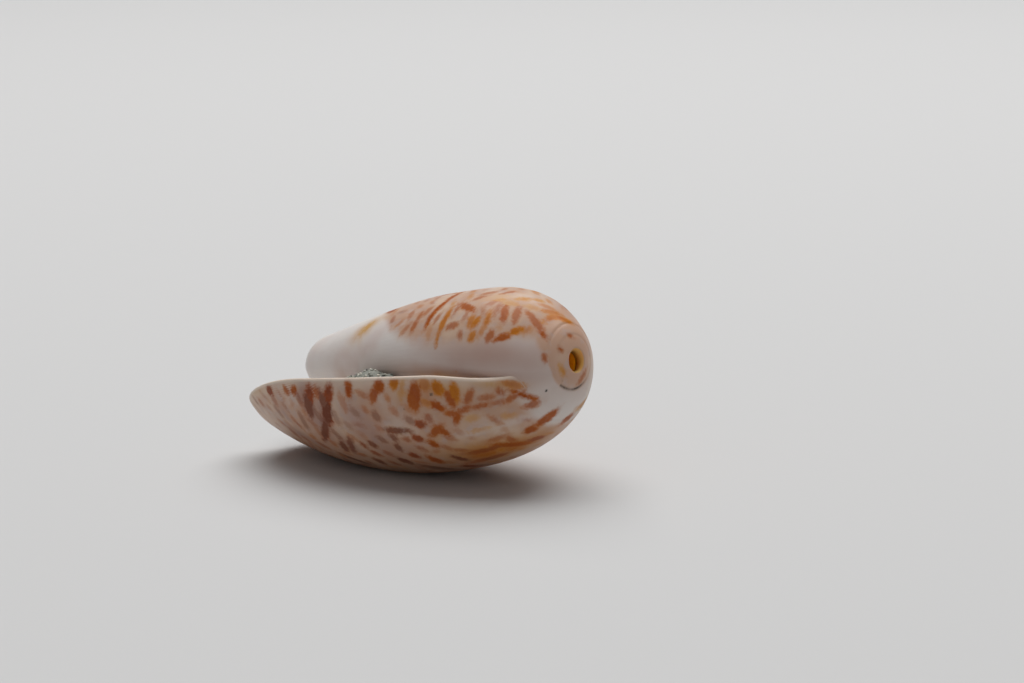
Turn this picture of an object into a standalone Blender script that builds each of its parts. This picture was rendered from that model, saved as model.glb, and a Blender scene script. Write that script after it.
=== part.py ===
"""An olive shell lying on its back with its aperture up, and the sand caught inside it.

Metres, +Z up. The origin is under the middle of the shell, on the surface it rests on. The
spire points along +X and the outer lip is on the -Y side.

The shell is one wall that coils round an axis. A station is a distance from the apex along
that axis. A growth angle is 0 at the outer lip and falls by 360 for each older whorl, so the
wall at growth -360 is the one that the aperture looks on to. Lengths are in millimetres
until a mesh is made.
"""

import math

import bmesh
import bpy
import numpy as np
from mathutils import Matrix

MM = 0.001

# The whole shell
LENGTH = 37.3
AXIS_TILT = 8.25  # the spire end is the higher one
LIP_BEARING = 174.7  # where the lip stands round the axis, 180 being straight towards -Y
FLAT_SPOT_DEPTH = 0.32
CUTTER_DEPTH = 4.0

# Outline along the lip, and how much wider each whorl is than the one before it
OUTLINE_SIZE = 19.3
OUTLINE_SHOULDER = 0.464
OUTLINE_TAPER = 0.561
OUTLINE_TAPER_POWER = 2.345
OUTLINE_END_POWER = 0.931
SUTURE_STATION = 2.05
WHORL_STEP = 0.217
WHORL_STEP_RUN = 13.0
WHORL_FLARE = 1.70
WHORL_FLARE_POWER = 1.424
COLUMELLA_RADIUS = 1.6
COLUMELLA_SHOWS_OVER = (11.2, 29.8)

# Wall, lip and front margin
WALL_THICKNESS = 1.0
FRONT_THICKENING = 1.1
FRONT_THICKENS_FROM = 14.0
LIP_THICKNESS = 0.55
WALL_THICKENS_OVER = 6.0
EDGE_ROUNDING = 0.4
EDGE_SETBACK = 0.2
RIDGE_CENTRED_BY = 0.6
LIP_SETBACK = 4.0
LIP_SETBACK_START = 4.5
LIP_SETBACK_END = 11.0
LIP_HOOK = 40.0
LIP_HOOK_LENGTH = 1.6
LIP_HOOK_POWER = 3.0
LIP_CORNER_LENGTH = 12.0
LIP_CORNER_ANGLE = 20.0
CANAL_NOTCH_DEPTH = 2.6
CANAL_NOTCH_GROWTH = -150.0
CANAL_NOTCH_WIDTH = 48.0
COLUMELLA_SETBACK = 1.7
COLUMELLA_DOME = 2.4
COLUMELLA_TIP_OFFSET = (0.35, 0.55)

# Cavity behind the aperture
CAVITY_REACH = 275.0
CAVITY_REACH_AT_CANAL = 195.0
CAVITY_NARROWS_FROM = 20.0
CAVITY_END_SPREAD = 40.0
CAVITY_END_FLATTENS = (0.5, 0.95)
LEAST_GAP = 0.05
LEAST_OPENNESS = 0.55
OPENNESS_RUN = (8.0, 16.0)

# Hole worn through the apex
HOLE_RADIUS = 1.27
HOLE_THROAT_RADIUS = 1.02
HOLE_RIM_STEPS = (0.13, 0.44)  # how deep the bevel is halfway and at its foot
HOLE_BACK_BEVEL = 0.1
HOLE_OFFSET = (0.0, 0.6)
HOLE_OFFSET_FADES_BY = 2.4

# Hollow inside the older whorls, which the hole opens into
SPIRE_WALL = 0.65
HOLLOW_FROM = 0.62
HOLLOW_END = 22.0
HOLLOW_END_DOME = 1.2
HOLLOW_END_STEPS = (0.0, 0.4)

# Sand packed in the cavity, given in the cavity's own directions
SAND_STATION = 21.5
SAND_HALF_LENGTH = 4.6
SAND_GROWTH = -50.0
SAND_HALF_SPREAD = 62.0
SAND_CLEARANCE = 0.3
SAND_SLOPE = 26.0
SAND_LUMP = 0.05
SAND_LUMP_WAVES = (7.0, 9.0)
SAND_LUMP_PHASES = ((2.0, 0.0, 4.0), (0.0, 3.0, 1.0))

# How finely the shell is divided
EDGE_STEPS = 3
WALL_STEPS = 22
WALL_CROWDING = 1.45
JOIN_STEPS = 4
CORE_STEPS = 10
HOLLOW_STEPS = 10
DOME_STEPS = 5
STATION_STEPS = 34
STATION_CROWDING = 1.7
BEND_FROM = 0.3
BEND_POWER = 1.6
SAND_SUBDIVISIONS = 4
INSIDE_OF_WALL_FROM = 0.7  # share of the way round a ring
WELD = 1e-8
TURN_TOLERANCE = 1e-6
SLOPE_REACH = 0.05


def smooth(low, high, value):
    """Rises smoothly from 0 at low to 1 at high."""
    share = np.clip((value - low) / (high - low), 0.0, 1.0)
    return share * share * (3.0 - 2.0 * share)


def lip_radius(station):
    """Distance from the axis to the outside of the wall at the outer lip."""
    share = np.clip(station / LENGTH, 0.0, 1.05)
    taper = np.maximum(1.0 - OUTLINE_TAPER * share**OUTLINE_TAPER_POWER, 0.05)
    return OUTLINE_SIZE * share**OUTLINE_SHOULDER * taper**OUTLINE_END_POWER


def whorl_widening(station):
    """Natural logarithm of how much wider the wall is than one whorl earlier."""
    past = np.maximum(station - SUTURE_STATION, 0.0)
    return (WHORL_STEP * smooth(0.0, WHORL_STEP_RUN, past)
            + WHORL_FLARE * (past / LENGTH)**WHORL_FLARE_POWER)


def outer_radius(station, growth):
    """Distance from the axis to the outside of the wall, never less than the columella."""
    coiled = lip_radius(station) * np.exp(whorl_widening(station) * growth / 360.0)
    core = COLUMELLA_RADIUS * smooth(*COLUMELLA_SHOWS_OVER, station)
    return (coiled**4 + core**4)**0.25


def lip_growth(station):
    """Growth angle of the outer lip's edge, which hooks back where it meets the spire."""
    setback = LIP_SETBACK * (1.0 - smooth(LIP_SETBACK_START, LIP_SETBACK_END, station))
    hook = np.clip(1.0 - (station - SUTURE_STATION) / LIP_HOOK_LENGTH, 0.0, 1.0)
    return -setback - LIP_HOOK * hook**LIP_HOOK_POWER


def cavity_growth(station):
    """Growth angle at which the cavity behind the aperture ends."""
    narrowing = smooth(CAVITY_NARROWS_FROM, LENGTH, station)
    return -CAVITY_REACH + (CAVITY_REACH - CAVITY_REACH_AT_CANAL) * narrowing


def corner_cut(growth):
    """How far the lip's front corner is rounded back at a growth angle."""
    share = np.clip(1.0 + growth / LIP_CORNER_ANGLE, 0.0, 1.0)
    return LIP_CORNER_LENGTH * (1.0 - np.sqrt(1.0 - share**2))


def front_station(growth):
    """Station of the front margin before its corner is rounded, with the canal's notch."""
    away = (growth - CANAL_NOTCH_GROWTH) / CANAL_NOTCH_WIDTH
    return LENGTH - CANAL_NOTCH_DEPTH * np.exp(-away**2)


def edge_distance(station, growth):
    """Distance over the surface, near enough, from a point of the wall to its free edge."""
    radius = outer_radius(station, growth)
    from_lip = np.radians(lip_growth(station) - growth) * radius
    from_front = front_station(growth) - station
    across = np.clip(1.0 + growth / LIP_CORNER_ANGLE, 0.0, None)
    along = np.clip(1.0 + (station - LENGTH) / LIP_CORNER_LENGTH, 0.0, None)
    reach = np.maximum(np.hypot(across, along), 1e-6)
    slope = np.hypot(across / (reach * np.radians(LIP_CORNER_ANGLE) * radius),
                     along / (reach * LIP_CORNER_LENGTH))
    from_corner = np.where(along > 0.0, (1.0 - reach) / np.maximum(slope, 1e-6), np.inf)
    return np.maximum(np.minimum(np.minimum(from_lip, from_front), from_corner), 0.0)


def cavity_gap(station, growth):
    """Space between the wall's inside and the older whorl, nothing near the spire."""
    full = WALL_THICKNESS + FRONT_THICKENING * smooth(FRONT_THICKENS_FROM, LENGTH, station)
    inland = smooth(0.0, WALL_THICKENS_OVER, edge_distance(station, growth))
    thickness = LIP_THICKNESS + (full - LIP_THICKNESS) * inland
    room = outer_radius(station, growth) - outer_radius(station, growth - 360.0)
    most = room * (1.0 - LEAST_OPENNESS * smooth(*OPENNESS_RUN, station))
    gap = room - np.minimum(thickness, most)
    return np.where(gap > LEAST_GAP, gap, 0.0)


def across_axis(growth, radius):
    """Turns a growth angle and a radius into a point of the plane across the axis."""
    bearing = np.radians(LIP_BEARING - growth)
    return np.stack([radius * np.cos(bearing), radius * np.sin(bearing)], axis=-1)


def bent_station(nominal, limit):
    """Station on a line that is straight near the spire and ends at limit at the front."""
    bend = np.clip((nominal - BEND_FROM) / (1.0 - BEND_FROM), 0.0, 1.0)**BEND_POWER
    return LENGTH * nominal + (limit - LENGTH) * bend


def wall_growths(station):
    """Growth angles across the wall over the cavity, close together at the lip's edge."""
    lip = float(lip_growth(station))
    end = float(cavity_growth(station))
    depth = math.degrees(EDGE_ROUNDING / float(outer_radius(station, lip)))
    rounded = lip - depth * (1.0 - np.cos(np.linspace(0.0, 0.5 * math.pi, EDGE_STEPS + 1)))
    share = np.linspace(0.0, 1.0, WALL_STEPS + 1)[1:]**WALL_CROWDING
    return np.concatenate([rounded, rounded[-1] + (end - rounded[-1]) * share])


def shell_ring(nominal, dome):
    """One closed ring of the shell, as rows of (station, y, z).

    nominal is the ring's share of the way to the front margin. dome is 0 up to there, and
    rises to 1 over the rings that close the front margin and the tip of the columella. The
    ring runs over the outside from the lip to the end of the cavity, on over the older
    whorl, back across the cavity's end, and along the inside of the wall to the lip.
    """
    growth = wall_growths(LENGTH * nominal)
    margin = front_station(growth) - corner_cut(growth)
    along = bent_station(nominal, margin - EDGE_SETBACK) + EDGE_SETBACK * dome
    outside = outer_radius(along, growth)
    gap = cavity_gap(along, growth)
    inside = outer_radius(along, growth - 360.0) + gap
    ridge = inside + 0.5 * (outside - inside) * smooth(0.0, RIDGE_CENTRED_BY, gap)
    near = np.clip(1.0 - edge_distance(along, growth) / EDGE_ROUNDING, 0.0, 1.0)
    fullness = np.sqrt(1.0 - near**2) * (dome < 1.0)
    wall_out = np.column_stack([along, across_axis(growth, ridge + (outside - ridge) * fullness)])
    wall_in = np.column_stack([along, across_axis(growth, ridge + (inside - ridge) * fullness)])

    share = np.linspace(0.0, 1.0, JOIN_STEPS + 2)[1:-1]
    tip = np.array(COLUMELLA_TIP_OFFSET)
    tip_limit = LENGTH - COLUMELLA_SETBACK - COLUMELLA_DOME
    core_station = bent_station(nominal, tip_limit) + COLUMELLA_DOME * dome
    join_station = along[-1] + (core_station - along[-1]) * smooth(0.0, 1.0, share)
    join_growth = growth[-1] - CAVITY_END_SPREAD * share
    join_out = across_axis(join_growth, outer_radius(join_station, join_growth))
    core_growth = np.concatenate([
        np.linspace(growth[-1] - CAVITY_END_SPREAD, growth[0] - 360.0, CORE_STEPS + 1)[:-1],
        growth - 360.0])
    core = across_axis(core_growth, outer_radius(core_station, core_growth))
    foot = float(outer_radius(core_station, core_growth[-1]))
    rise = float(inside[-1]) - foot
    roundness = 1.0 - smooth(*CAVITY_END_FLATTENS, nominal)
    bulge = np.degrees(0.5 * gap[-1] / foot) * np.sin(np.pi * share) * roundness
    cavity_end = across_axis(core_growth[-1] - bulge,
                             foot + 0.5 * rise * (1.0 - np.cos(np.pi * share)))

    shrink = math.sqrt(max(1.0 - dome**2, 0.0))
    middle = 0.5 * (join_out + cavity_end[::-1])
    crest = middle + (tip - middle) * smooth(0.0, 1.0, share)[:, None]
    join_out = crest + (join_out - crest) * shrink
    cavity_end = crest[::-1] + (cavity_end - crest[::-1]) * shrink
    core = tip + (core - tip) * shrink

    return np.vstack([
        wall_out,
        np.column_stack([join_station, join_out]),
        np.column_stack([np.full(len(core), core_station), core]),
        np.column_stack([join_station[::-1], cavity_end]),
        wall_in[::-1],
    ])


def hollow_ring(bearing, base):
    """A ring of the hollow, a wall's thickness inside the older whorl at station base."""
    turned = np.mod(np.degrees(bearing) - LIP_BEARING + TURN_TOLERANCE, 360.0)
    growth = -360.0 - turned
    end = -360.0 - CAVITY_REACH
    wrap = smooth(CAVITY_REACH, 360.0, turned)
    radius = outer_radius(base, np.maximum(growth, end)) * (1.0 - wrap)
    radius += outer_radius(base, -360.0) * wrap
    ahead, behind = base + SLOPE_REACH, base - SLOPE_REACH
    slope = float(lip_radius(ahead) - lip_radius(behind)) / (ahead - behind)
    steepness = math.hypot(slope, 1.0)
    station = base + SPIRE_WALL * slope / steepness
    circle = np.column_stack([np.cos(bearing), np.sin(bearing)])
    inner = (radius - SPIRE_WALL / steepness)[:, None] * circle
    return np.column_stack([np.full(len(bearing), station), inner])


def hole_rings(first_ring):
    """Rings from the blind end of the hollow out through the hole to its rounded rim."""
    bearing = np.arctan2(first_ring[:, 2], first_ring[:, 1])
    circle = np.column_stack([np.cos(bearing), np.sin(bearing)])
    crowd = np.linspace(1.0, (HOLLOW_FROM / HOLLOW_END)**0.5, HOLLOW_STEPS)**2
    hollow = [hollow_ring(bearing, HOLLOW_END * share) for share in crowd]
    domed = []
    for share in HOLLOW_END_STEPS:
        ring = hollow[0].copy()
        centre = ring[:, 1:].mean(axis=0)
        ring[:, 0] += HOLLOW_END_DOME * (1.0 - share)
        ring[:, 1:] = centre + (ring[:, 1:] - centre) * math.sqrt(share)
        domed.append(ring)
    rim = float(first_ring[0, 0])
    halfway, foot = (rim + step for step in HOLE_RIM_STEPS)
    back = float(hollow[-1][0, 0]) - HOLE_BACK_BEVEL
    throat = [(back, HOLE_THROAT_RADIUS + HOLE_BACK_BEVEL),
              (foot, HOLE_THROAT_RADIUS),
              (halfway, 0.5 * (HOLE_THROAT_RADIUS + HOLE_RADIUS))]
    return domed + hollow + [np.column_stack([np.full(len(bearing), station), radius * circle])
                             for station, radius in throat]


def shell_rings():
    """Every ring of the shell, from the bottom of the hole to the front margin."""
    first = (HOLE_RADIUS / OUTLINE_SIZE)**(1.0 / OUTLINE_SHOULDER)
    root = 1.0 / STATION_CROWDING
    nominals = np.linspace(first**root, 1.0, STATION_STEPS + 1)**STATION_CROWDING
    turns = np.linspace(0.0, 0.5 * math.pi, DOME_STEPS + 1)[1:]
    rings = [shell_ring(nominal, 0.0) for nominal in nominals]
    rings = hole_rings(rings[0]) + rings + [shell_ring(1.0, math.sin(turn)) for turn in turns]
    for ring in rings:
        fade = 1.0 - smooth(0.0, HOLE_OFFSET_FADES_BY, ring[:, 0])
        ring[:, 1:] += fade[:, None] * np.array(HOLE_OFFSET)
    return rings


def to_frame(points):
    """Turns (station, y, z) into metres about the middle of the axis, spire towards +X."""
    frame = np.array(points, float)
    frame[:, 0] = 0.5 * LENGTH - frame[:, 0]
    return frame * MM


def ring_faces(ring_count, size):
    """Triangles between rings of equal size, mirrored on the inside of the wall.

    The inside of the wall then has the same triangles as the older whorl under it, so the
    two close up where there is no space between them.
    """
    faces = []
    for ring in range(ring_count - 1):
        for index in range(size):
            corners = [ring * size + index, ring * size + (index + 1) % size]
            corners += [corner + size for corner in corners]
            here, beside, ahead, across = corners
            if index < INSIDE_OF_WALL_FROM * size:
                faces += [(here, beside, across), (here, across, ahead)]
            else:
                faces += [(here, beside, ahead), (beside, across, ahead)]
    return np.array(faces)


def loft(name, rings):
    """Makes a closed mesh from rings of equal size."""
    points = to_frame(np.vstack(rings))
    faces = ring_faces(len(rings), len(rings[0]))
    keys = np.round(points / WELD).astype(np.int64)
    _, first, index = np.unique(keys, axis=0, return_index=True, return_inverse=True)
    points = points[first]
    faces = index.reshape(-1)[faces]
    whole = [len(set(face)) == 3 for face in faces.tolist()]
    faces = faces[whole]
    _, first, count = np.unique(np.sort(faces, axis=1), axis=0, return_index=True,
                                return_counts=True)
    faces = faces[first[count % 2 == 1]]
    data = bpy.data.meshes.new(name)
    data.from_pydata(points.tolist(), [], faces.tolist())
    mesh = bmesh.new()
    mesh.from_mesh(data)
    loose = [vertex for vertex in mesh.verts if not vertex.link_faces]
    bmesh.ops.delete(mesh, geom=loose, context="VERTS")
    bmesh.ops.recalc_face_normals(mesh, faces=mesh.faces)
    mesh.to_mesh(data)
    mesh.free()
    return data


def material(name, colour, roughness):
    """A plain Principled material."""
    made = bpy.data.materials.new(name)
    made.use_nodes = True
    shader = made.node_tree.nodes["Principled BSDF"]
    shader.inputs["Base Color"].default_value = (*colour, 1.0)
    shader.inputs["Roughness"].default_value = roughness
    shader.inputs["Metallic"].default_value = 0.0
    return made


def sand_mesh():
    """The packed sand: a ball bent into the cavity, clear of the walls all round.

    Its top slopes down from the older whorl to the lip.
    """
    mesh = bmesh.new()
    bmesh.ops.create_icosphere(mesh, subdivisions=SAND_SUBDIVISIONS, radius=1.0)
    unit = np.array([vertex.co for vertex in mesh.verts])
    squared = unit / np.abs(unit).max(axis=1)[:, None]
    along, across = (np.sin(wave * unit[:, axis, None] + phases) for axis, (wave, phases)
                     in enumerate(zip(SAND_LUMP_WAVES, SAND_LUMP_PHASES)))
    blocky = 0.5 * (unit + squared) + SAND_LUMP * along * across
    station = SAND_STATION + SAND_HALF_LENGTH * blocky[:, 0]
    depth = 0.5 + 0.5 * squared[:, 2]
    growth = SAND_GROWTH + SAND_HALF_SPREAD * blocky[:, 1]
    growth -= SAND_SLOPE * depth * np.clip(0.5 + blocky[:, 1], 0.0, 1.0)
    inner = outer_radius(station, growth - 360.0) + SAND_CLEARANCE
    outer = inner + cavity_gap(station, growth) - 2.0 * SAND_CLEARANCE
    points = np.column_stack([station, across_axis(growth, inner + (outer - inner) * depth)])
    for vertex, point in zip(mesh.verts, to_frame(points)):
        vertex.co = point
    bmesh.ops.recalc_face_normals(mesh, faces=mesh.faces)
    data = bpy.data.meshes.new("sand")
    mesh.to_mesh(data)
    mesh.free()
    return data


def rest_place(mesh_data):
    """Tilts the axis and sets the shell down with its middle over the origin."""
    tilt = Matrix.Rotation(math.radians(-AXIS_TILT), 4, "Y")
    corners = np.array([tilt @ vertex.co for vertex in mesh_data.vertices])
    low, high = corners.min(axis=0), corners.max(axis=0)
    middle = 0.5 * (low + high)
    floor = low[2] + FLAT_SPOT_DEPTH * MM
    return Matrix.Translation((-middle[0], -middle[1], -floor)) @ tilt


def flat_spot_cutter(collection):
    """A slab just under the surface that the shell rests on."""
    bpy.ops.mesh.primitive_cube_add(size=1.0)
    slab = bpy.context.object
    slab.name = "flat_spot_cutter"
    slab.scale = (2.0 * LENGTH * MM, 2.0 * LENGTH * MM, CUTTER_DEPTH * MM)
    slab.location = (0.0, 0.0, -0.5 * CUTTER_DEPTH * MM)
    slab.display_type = "WIRE"
    slab.hide_render = True
    for owner in list(slab.users_collection):
        owner.objects.unlink(slab)
    collection.objects.link(slab)
    return slab


def main():
    """Builds the shell and its sand."""
    for old in list(bpy.data.objects):
        bpy.data.objects.remove(old)
    parts = bpy.data.collections.new("olive_shell")
    cutters = bpy.data.collections.new("cutters")
    for collection in (parts, cutters):
        bpy.context.scene.collection.children.link(collection)

    shell_data = loft("shell", shell_rings())
    stand = bpy.data.objects.new("axis", None)
    stand.matrix_world = rest_place(shell_data)
    parts.objects.link(stand)

    shell = bpy.data.objects.new("shell", shell_data)
    shell_data.materials.append(material("shell_cream", (0.78, 0.68, 0.60), 0.35))
    sand = bpy.data.objects.new("sand", sand_mesh())
    sand.data.materials.append(material("sand_grey", (0.36, 0.37, 0.33), 0.95))
    for piece in (shell, sand):
        piece.parent = stand
        parts.objects.link(piece)

    flat = shell.modifiers.new("flat_spot", "BOOLEAN")
    flat.operation = "DIFFERENCE"
    flat.solver = "EXACT"
    flat.object = flat_spot_cutter(cutters)
    shell_data.shade_smooth()


if __name__ == "__main__":
    main()
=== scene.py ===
"""An olive shell as it looks: polished and speckled, with sand caught inside it.

The shell is one wall that coils round an axis. A station is a distance from the apex along
that axis. A growth angle is 0 at the outer lip and falls by 360 for each older whorl, so the
wall at growth -360 is the one that the aperture looks on to. Lengths are in millimetres
until they reach a mesh, which is in metres in the part's own frame.
"""

import logging
import math
from dataclasses import dataclass, fields, replace
from enum import IntEnum
from typing import Callable

import bmesh
import bpy
import numpy as np
from mathutils import Matrix, Vector
from mathutils.bvhtree import BVHTree
from numpy.lib.mixins import NDArrayOperatorsMixin


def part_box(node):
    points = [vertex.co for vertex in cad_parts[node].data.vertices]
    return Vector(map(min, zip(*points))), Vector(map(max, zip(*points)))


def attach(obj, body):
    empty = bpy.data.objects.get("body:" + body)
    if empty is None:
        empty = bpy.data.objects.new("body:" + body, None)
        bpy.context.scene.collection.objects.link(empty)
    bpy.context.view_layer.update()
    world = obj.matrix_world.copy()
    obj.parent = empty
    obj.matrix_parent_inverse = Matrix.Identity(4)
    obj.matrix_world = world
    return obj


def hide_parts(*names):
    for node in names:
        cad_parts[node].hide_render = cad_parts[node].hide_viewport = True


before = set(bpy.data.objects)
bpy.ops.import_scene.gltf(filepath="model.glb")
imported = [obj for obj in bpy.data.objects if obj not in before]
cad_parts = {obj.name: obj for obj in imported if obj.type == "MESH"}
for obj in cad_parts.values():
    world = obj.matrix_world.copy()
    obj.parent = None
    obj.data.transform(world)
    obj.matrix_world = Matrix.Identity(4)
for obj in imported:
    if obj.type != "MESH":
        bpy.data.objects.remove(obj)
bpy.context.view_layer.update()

MM = 0.001
log = logging.getLogger("olive_shell")

Number = "float | np.ndarray | Field"


class Field(NDArrayOperatorsMixin):
    """A number that a node tree works out at every point. Arithmetic on it adds nodes."""

    OPERATIONS = {
        np.add: "ADD", np.subtract: "SUBTRACT", np.multiply: "MULTIPLY",
        np.true_divide: "DIVIDE", np.power: "POWER", np.maximum: "MAXIMUM",
        np.minimum: "MINIMUM", np.exp: "EXPONENT", np.sqrt: "SQRT", np.sin: "SINE",
        np.cos: "COSINE", np.absolute: "ABSOLUTE", np.remainder: "FLOORED_MODULO",
        np.less: "LESS_THAN", np.greater: "GREATER_THAN", np.radians: "RADIANS",
        np.degrees: "DEGREES",
    }

    def __init__(self, tree: "Tree", socket: bpy.types.NodeSocket) -> None:
        """Keeps the socket that carries the number."""
        self.tree = tree
        self.socket = socket

    def __array_ufunc__(self, rule: np.ufunc, method: str, *values: Number) -> "Field":
        """Adds the Math node that stands for one of numpy's functions.

        Args:
            rule: the function, such as numpy.sqrt.
            method: how numpy was asked to apply it, which is always a plain call; not used.
            values: its arguments, of which at least one is a field.

        Returns:
            The field that the node puts out.
        """
        if rule is np.negative:
            return self.tree.math("MULTIPLY", values[0], -1.0)
        return self.tree.math(self.OPERATIONS[rule], *values)


class Tree:
    """A node tree under construction."""

    def __init__(self, tree: bpy.types.NodeTree) -> None:
        """Keeps the tree that the nodes go in."""
        self.tree = tree
        self.made: dict[tuple, object] = {}

    def node(self, kind: str, **settings: object) -> bpy.types.Node:
        """Adds a node of a kind and sets its options."""
        made = self.tree.nodes.new(kind)
        for name, value in settings.items():
            setattr(made, name, value)
        return made

    def link(self, value: object, socket: bpy.types.NodeSocket) -> None:
        """Feeds a field, a socket or a plain value into a socket."""
        if isinstance(value, Field):
            value = value.socket
        if isinstance(value, bpy.types.NodeSocket):
            self.tree.links.new(value, socket)
        else:
            socket.default_value = value

    def math(self, operation: str, *values: Number) -> Field:
        """The field of one step of arithmetic, made once for each set of arguments."""
        key = (operation, *(self._key(value) for value in values))
        return self.remembered(key, lambda: self._math(operation, values))

    def _math(self, operation: str, values: tuple) -> Field:
        made = self.node("ShaderNodeMath", operation=operation)
        for value, socket in zip(values, made.inputs):
            self.link(value if isinstance(value, Field) else float(value), socket)
        return Field(self, made.outputs[0])

    def _key(self, value: Number) -> object:
        if isinstance(value, Field):
            return value.socket.node.name, value.socket.identifier
        return float(value)

    def remembered(self, key: tuple, make: Callable[[], object]) -> object:
        """What was made before under this key, or a new one."""
        if key not in self.made:
            self.made[key] = make()
        return self.made[key]

    def vector(self, x: Number, y: Number, z: Number) -> bpy.types.NodeSocket:
        """The socket of a vector put together from three numbers."""
        made = self.node("ShaderNodeCombineXYZ")
        for value, socket in zip((x, y, z), made.inputs):
            self.link(value, socket)
        return made.outputs[0]


class Graph(Tree):
    """A Geometry Nodes tree under construction, with a named input for each size."""

    def __init__(self, name: str, sizes: dict[str, float]) -> None:
        """Starts the tree.

        Args:
            name: what the tree is called.
            sizes: the value of each named input.
        """
        super().__init__(bpy.data.node_groups.new(name, "GeometryNodeTree"))
        face = self.tree.interface
        face.new_socket("Geometry", in_out="INPUT", socket_type="NodeSocketGeometry")
        face.new_socket("Geometry", in_out="OUTPUT", socket_type="NodeSocketGeometry")
        self.values: dict[str, float] = {}
        for label, value in sizes.items():
            socket = face.new_socket(label, in_out="INPUT", socket_type="NodeSocketFloat")
            socket.default_value = value
            self.values[socket.identifier] = value
        self.entry = self.tree.nodes.new("NodeGroupInput")
        self.exit = self.tree.nodes.new("NodeGroupOutput")

    def size(self, name: str) -> Field:
        """The field of a named input."""
        return Field(self, self.entry.outputs[name])

    def attribute(self, name: str) -> Field:
        """The field of a number stored on the mesh."""
        return self.remembered(("attribute", name), lambda: self._attribute(name))

    def _attribute(self, name: str) -> Field:
        made = self.node("GeometryNodeInputNamedAttribute", data_type="FLOAT")
        made.inputs["Name"].default_value = name
        return Field(self, shown(made.outputs, "Attribute"))

    def store(self, geometry: bpy.types.NodeSocket, name: str, value: Number,
              domain: str = "POINT") -> bpy.types.NodeSocket:
        """Keeps a field on the mesh under a name.

        Args:
            geometry: what to keep it on.
            name: the attribute's name.
            value: the field.
            domain: where it is kept, on points or on instances.

        Returns:
            The geometry with the attribute on it.
        """
        made = self.node("GeometryNodeStoreNamedAttribute", data_type="FLOAT", domain=domain)
        self.link(geometry, made.inputs["Geometry"])
        made.inputs["Name"].default_value = name
        self.link(value, shown(made.inputs, "Value"))
        return made.outputs[0]

    def close(self, geometry: bpy.types.NodeSocket, material: bpy.types.Material) -> None:
        """Ends the tree in Realize Instances and Set Material."""
        whole = self.node("GeometryNodeRealizeInstances")
        self.link(geometry, whole.inputs["Geometry"])
        dressed = self.node("GeometryNodeSetMaterial")
        self.link(whole.outputs[0], dressed.inputs["Geometry"])
        dressed.inputs["Material"].default_value = material
        self.link(dressed.outputs[0], self.exit.inputs["Geometry"])

    def apply(self, start: bpy.types.Mesh, name: str) -> bpy.types.Mesh:
        """Runs the tree on a mesh.

        Args:
            start: the mesh that goes in.
            name: what the resulting mesh is called.

        Returns:
            A plain mesh with nothing live on it.
        """
        carrier = bpy.data.objects.new(name + "_carrier", start)
        bpy.context.scene.collection.objects.link(carrier)
        modifier = carrier.modifiers.new(self.tree.name, "NODES")
        modifier.node_group = self.tree
        for identifier, value in self.values.items():
            modifier[identifier] = value
        evaluated = carrier.evaluated_get(bpy.context.evaluated_depsgraph_get())
        result = bpy.data.meshes.new_from_object(evaluated)
        result.name = name
        carrier.modifiers.clear()
        bpy.data.objects.remove(carrier)
        return result


def shown(sockets: object, name: str) -> bpy.types.NodeSocket:
    """The socket of a name that is in use, where a node keeps one for each type."""
    return next(socket for socket in sockets if socket.name == name and socket.enabled)


def clamp(value: Number, low: Number, high: Number) -> Number:
    """Keeps a value between low and high."""
    return np.minimum(np.maximum(value, low), high)


def smooth(low: Number, high: Number, value: Number) -> Number:
    """Rises smoothly from 0 at low to 1 at high."""
    share = clamp((value - low) / (high - low), 0.0, 1.0)
    return share * share * (3.0 - 2.0 * share)


def blend(share: Number, start: Number, end: Number) -> Number:
    """Goes from start to end with a share from 0 to 1."""
    return start + (end - start) * share


def distance(across: Number, along: Number) -> Number:
    """Length of a step with two square parts."""
    return np.sqrt(across * across + along * along)


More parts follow.
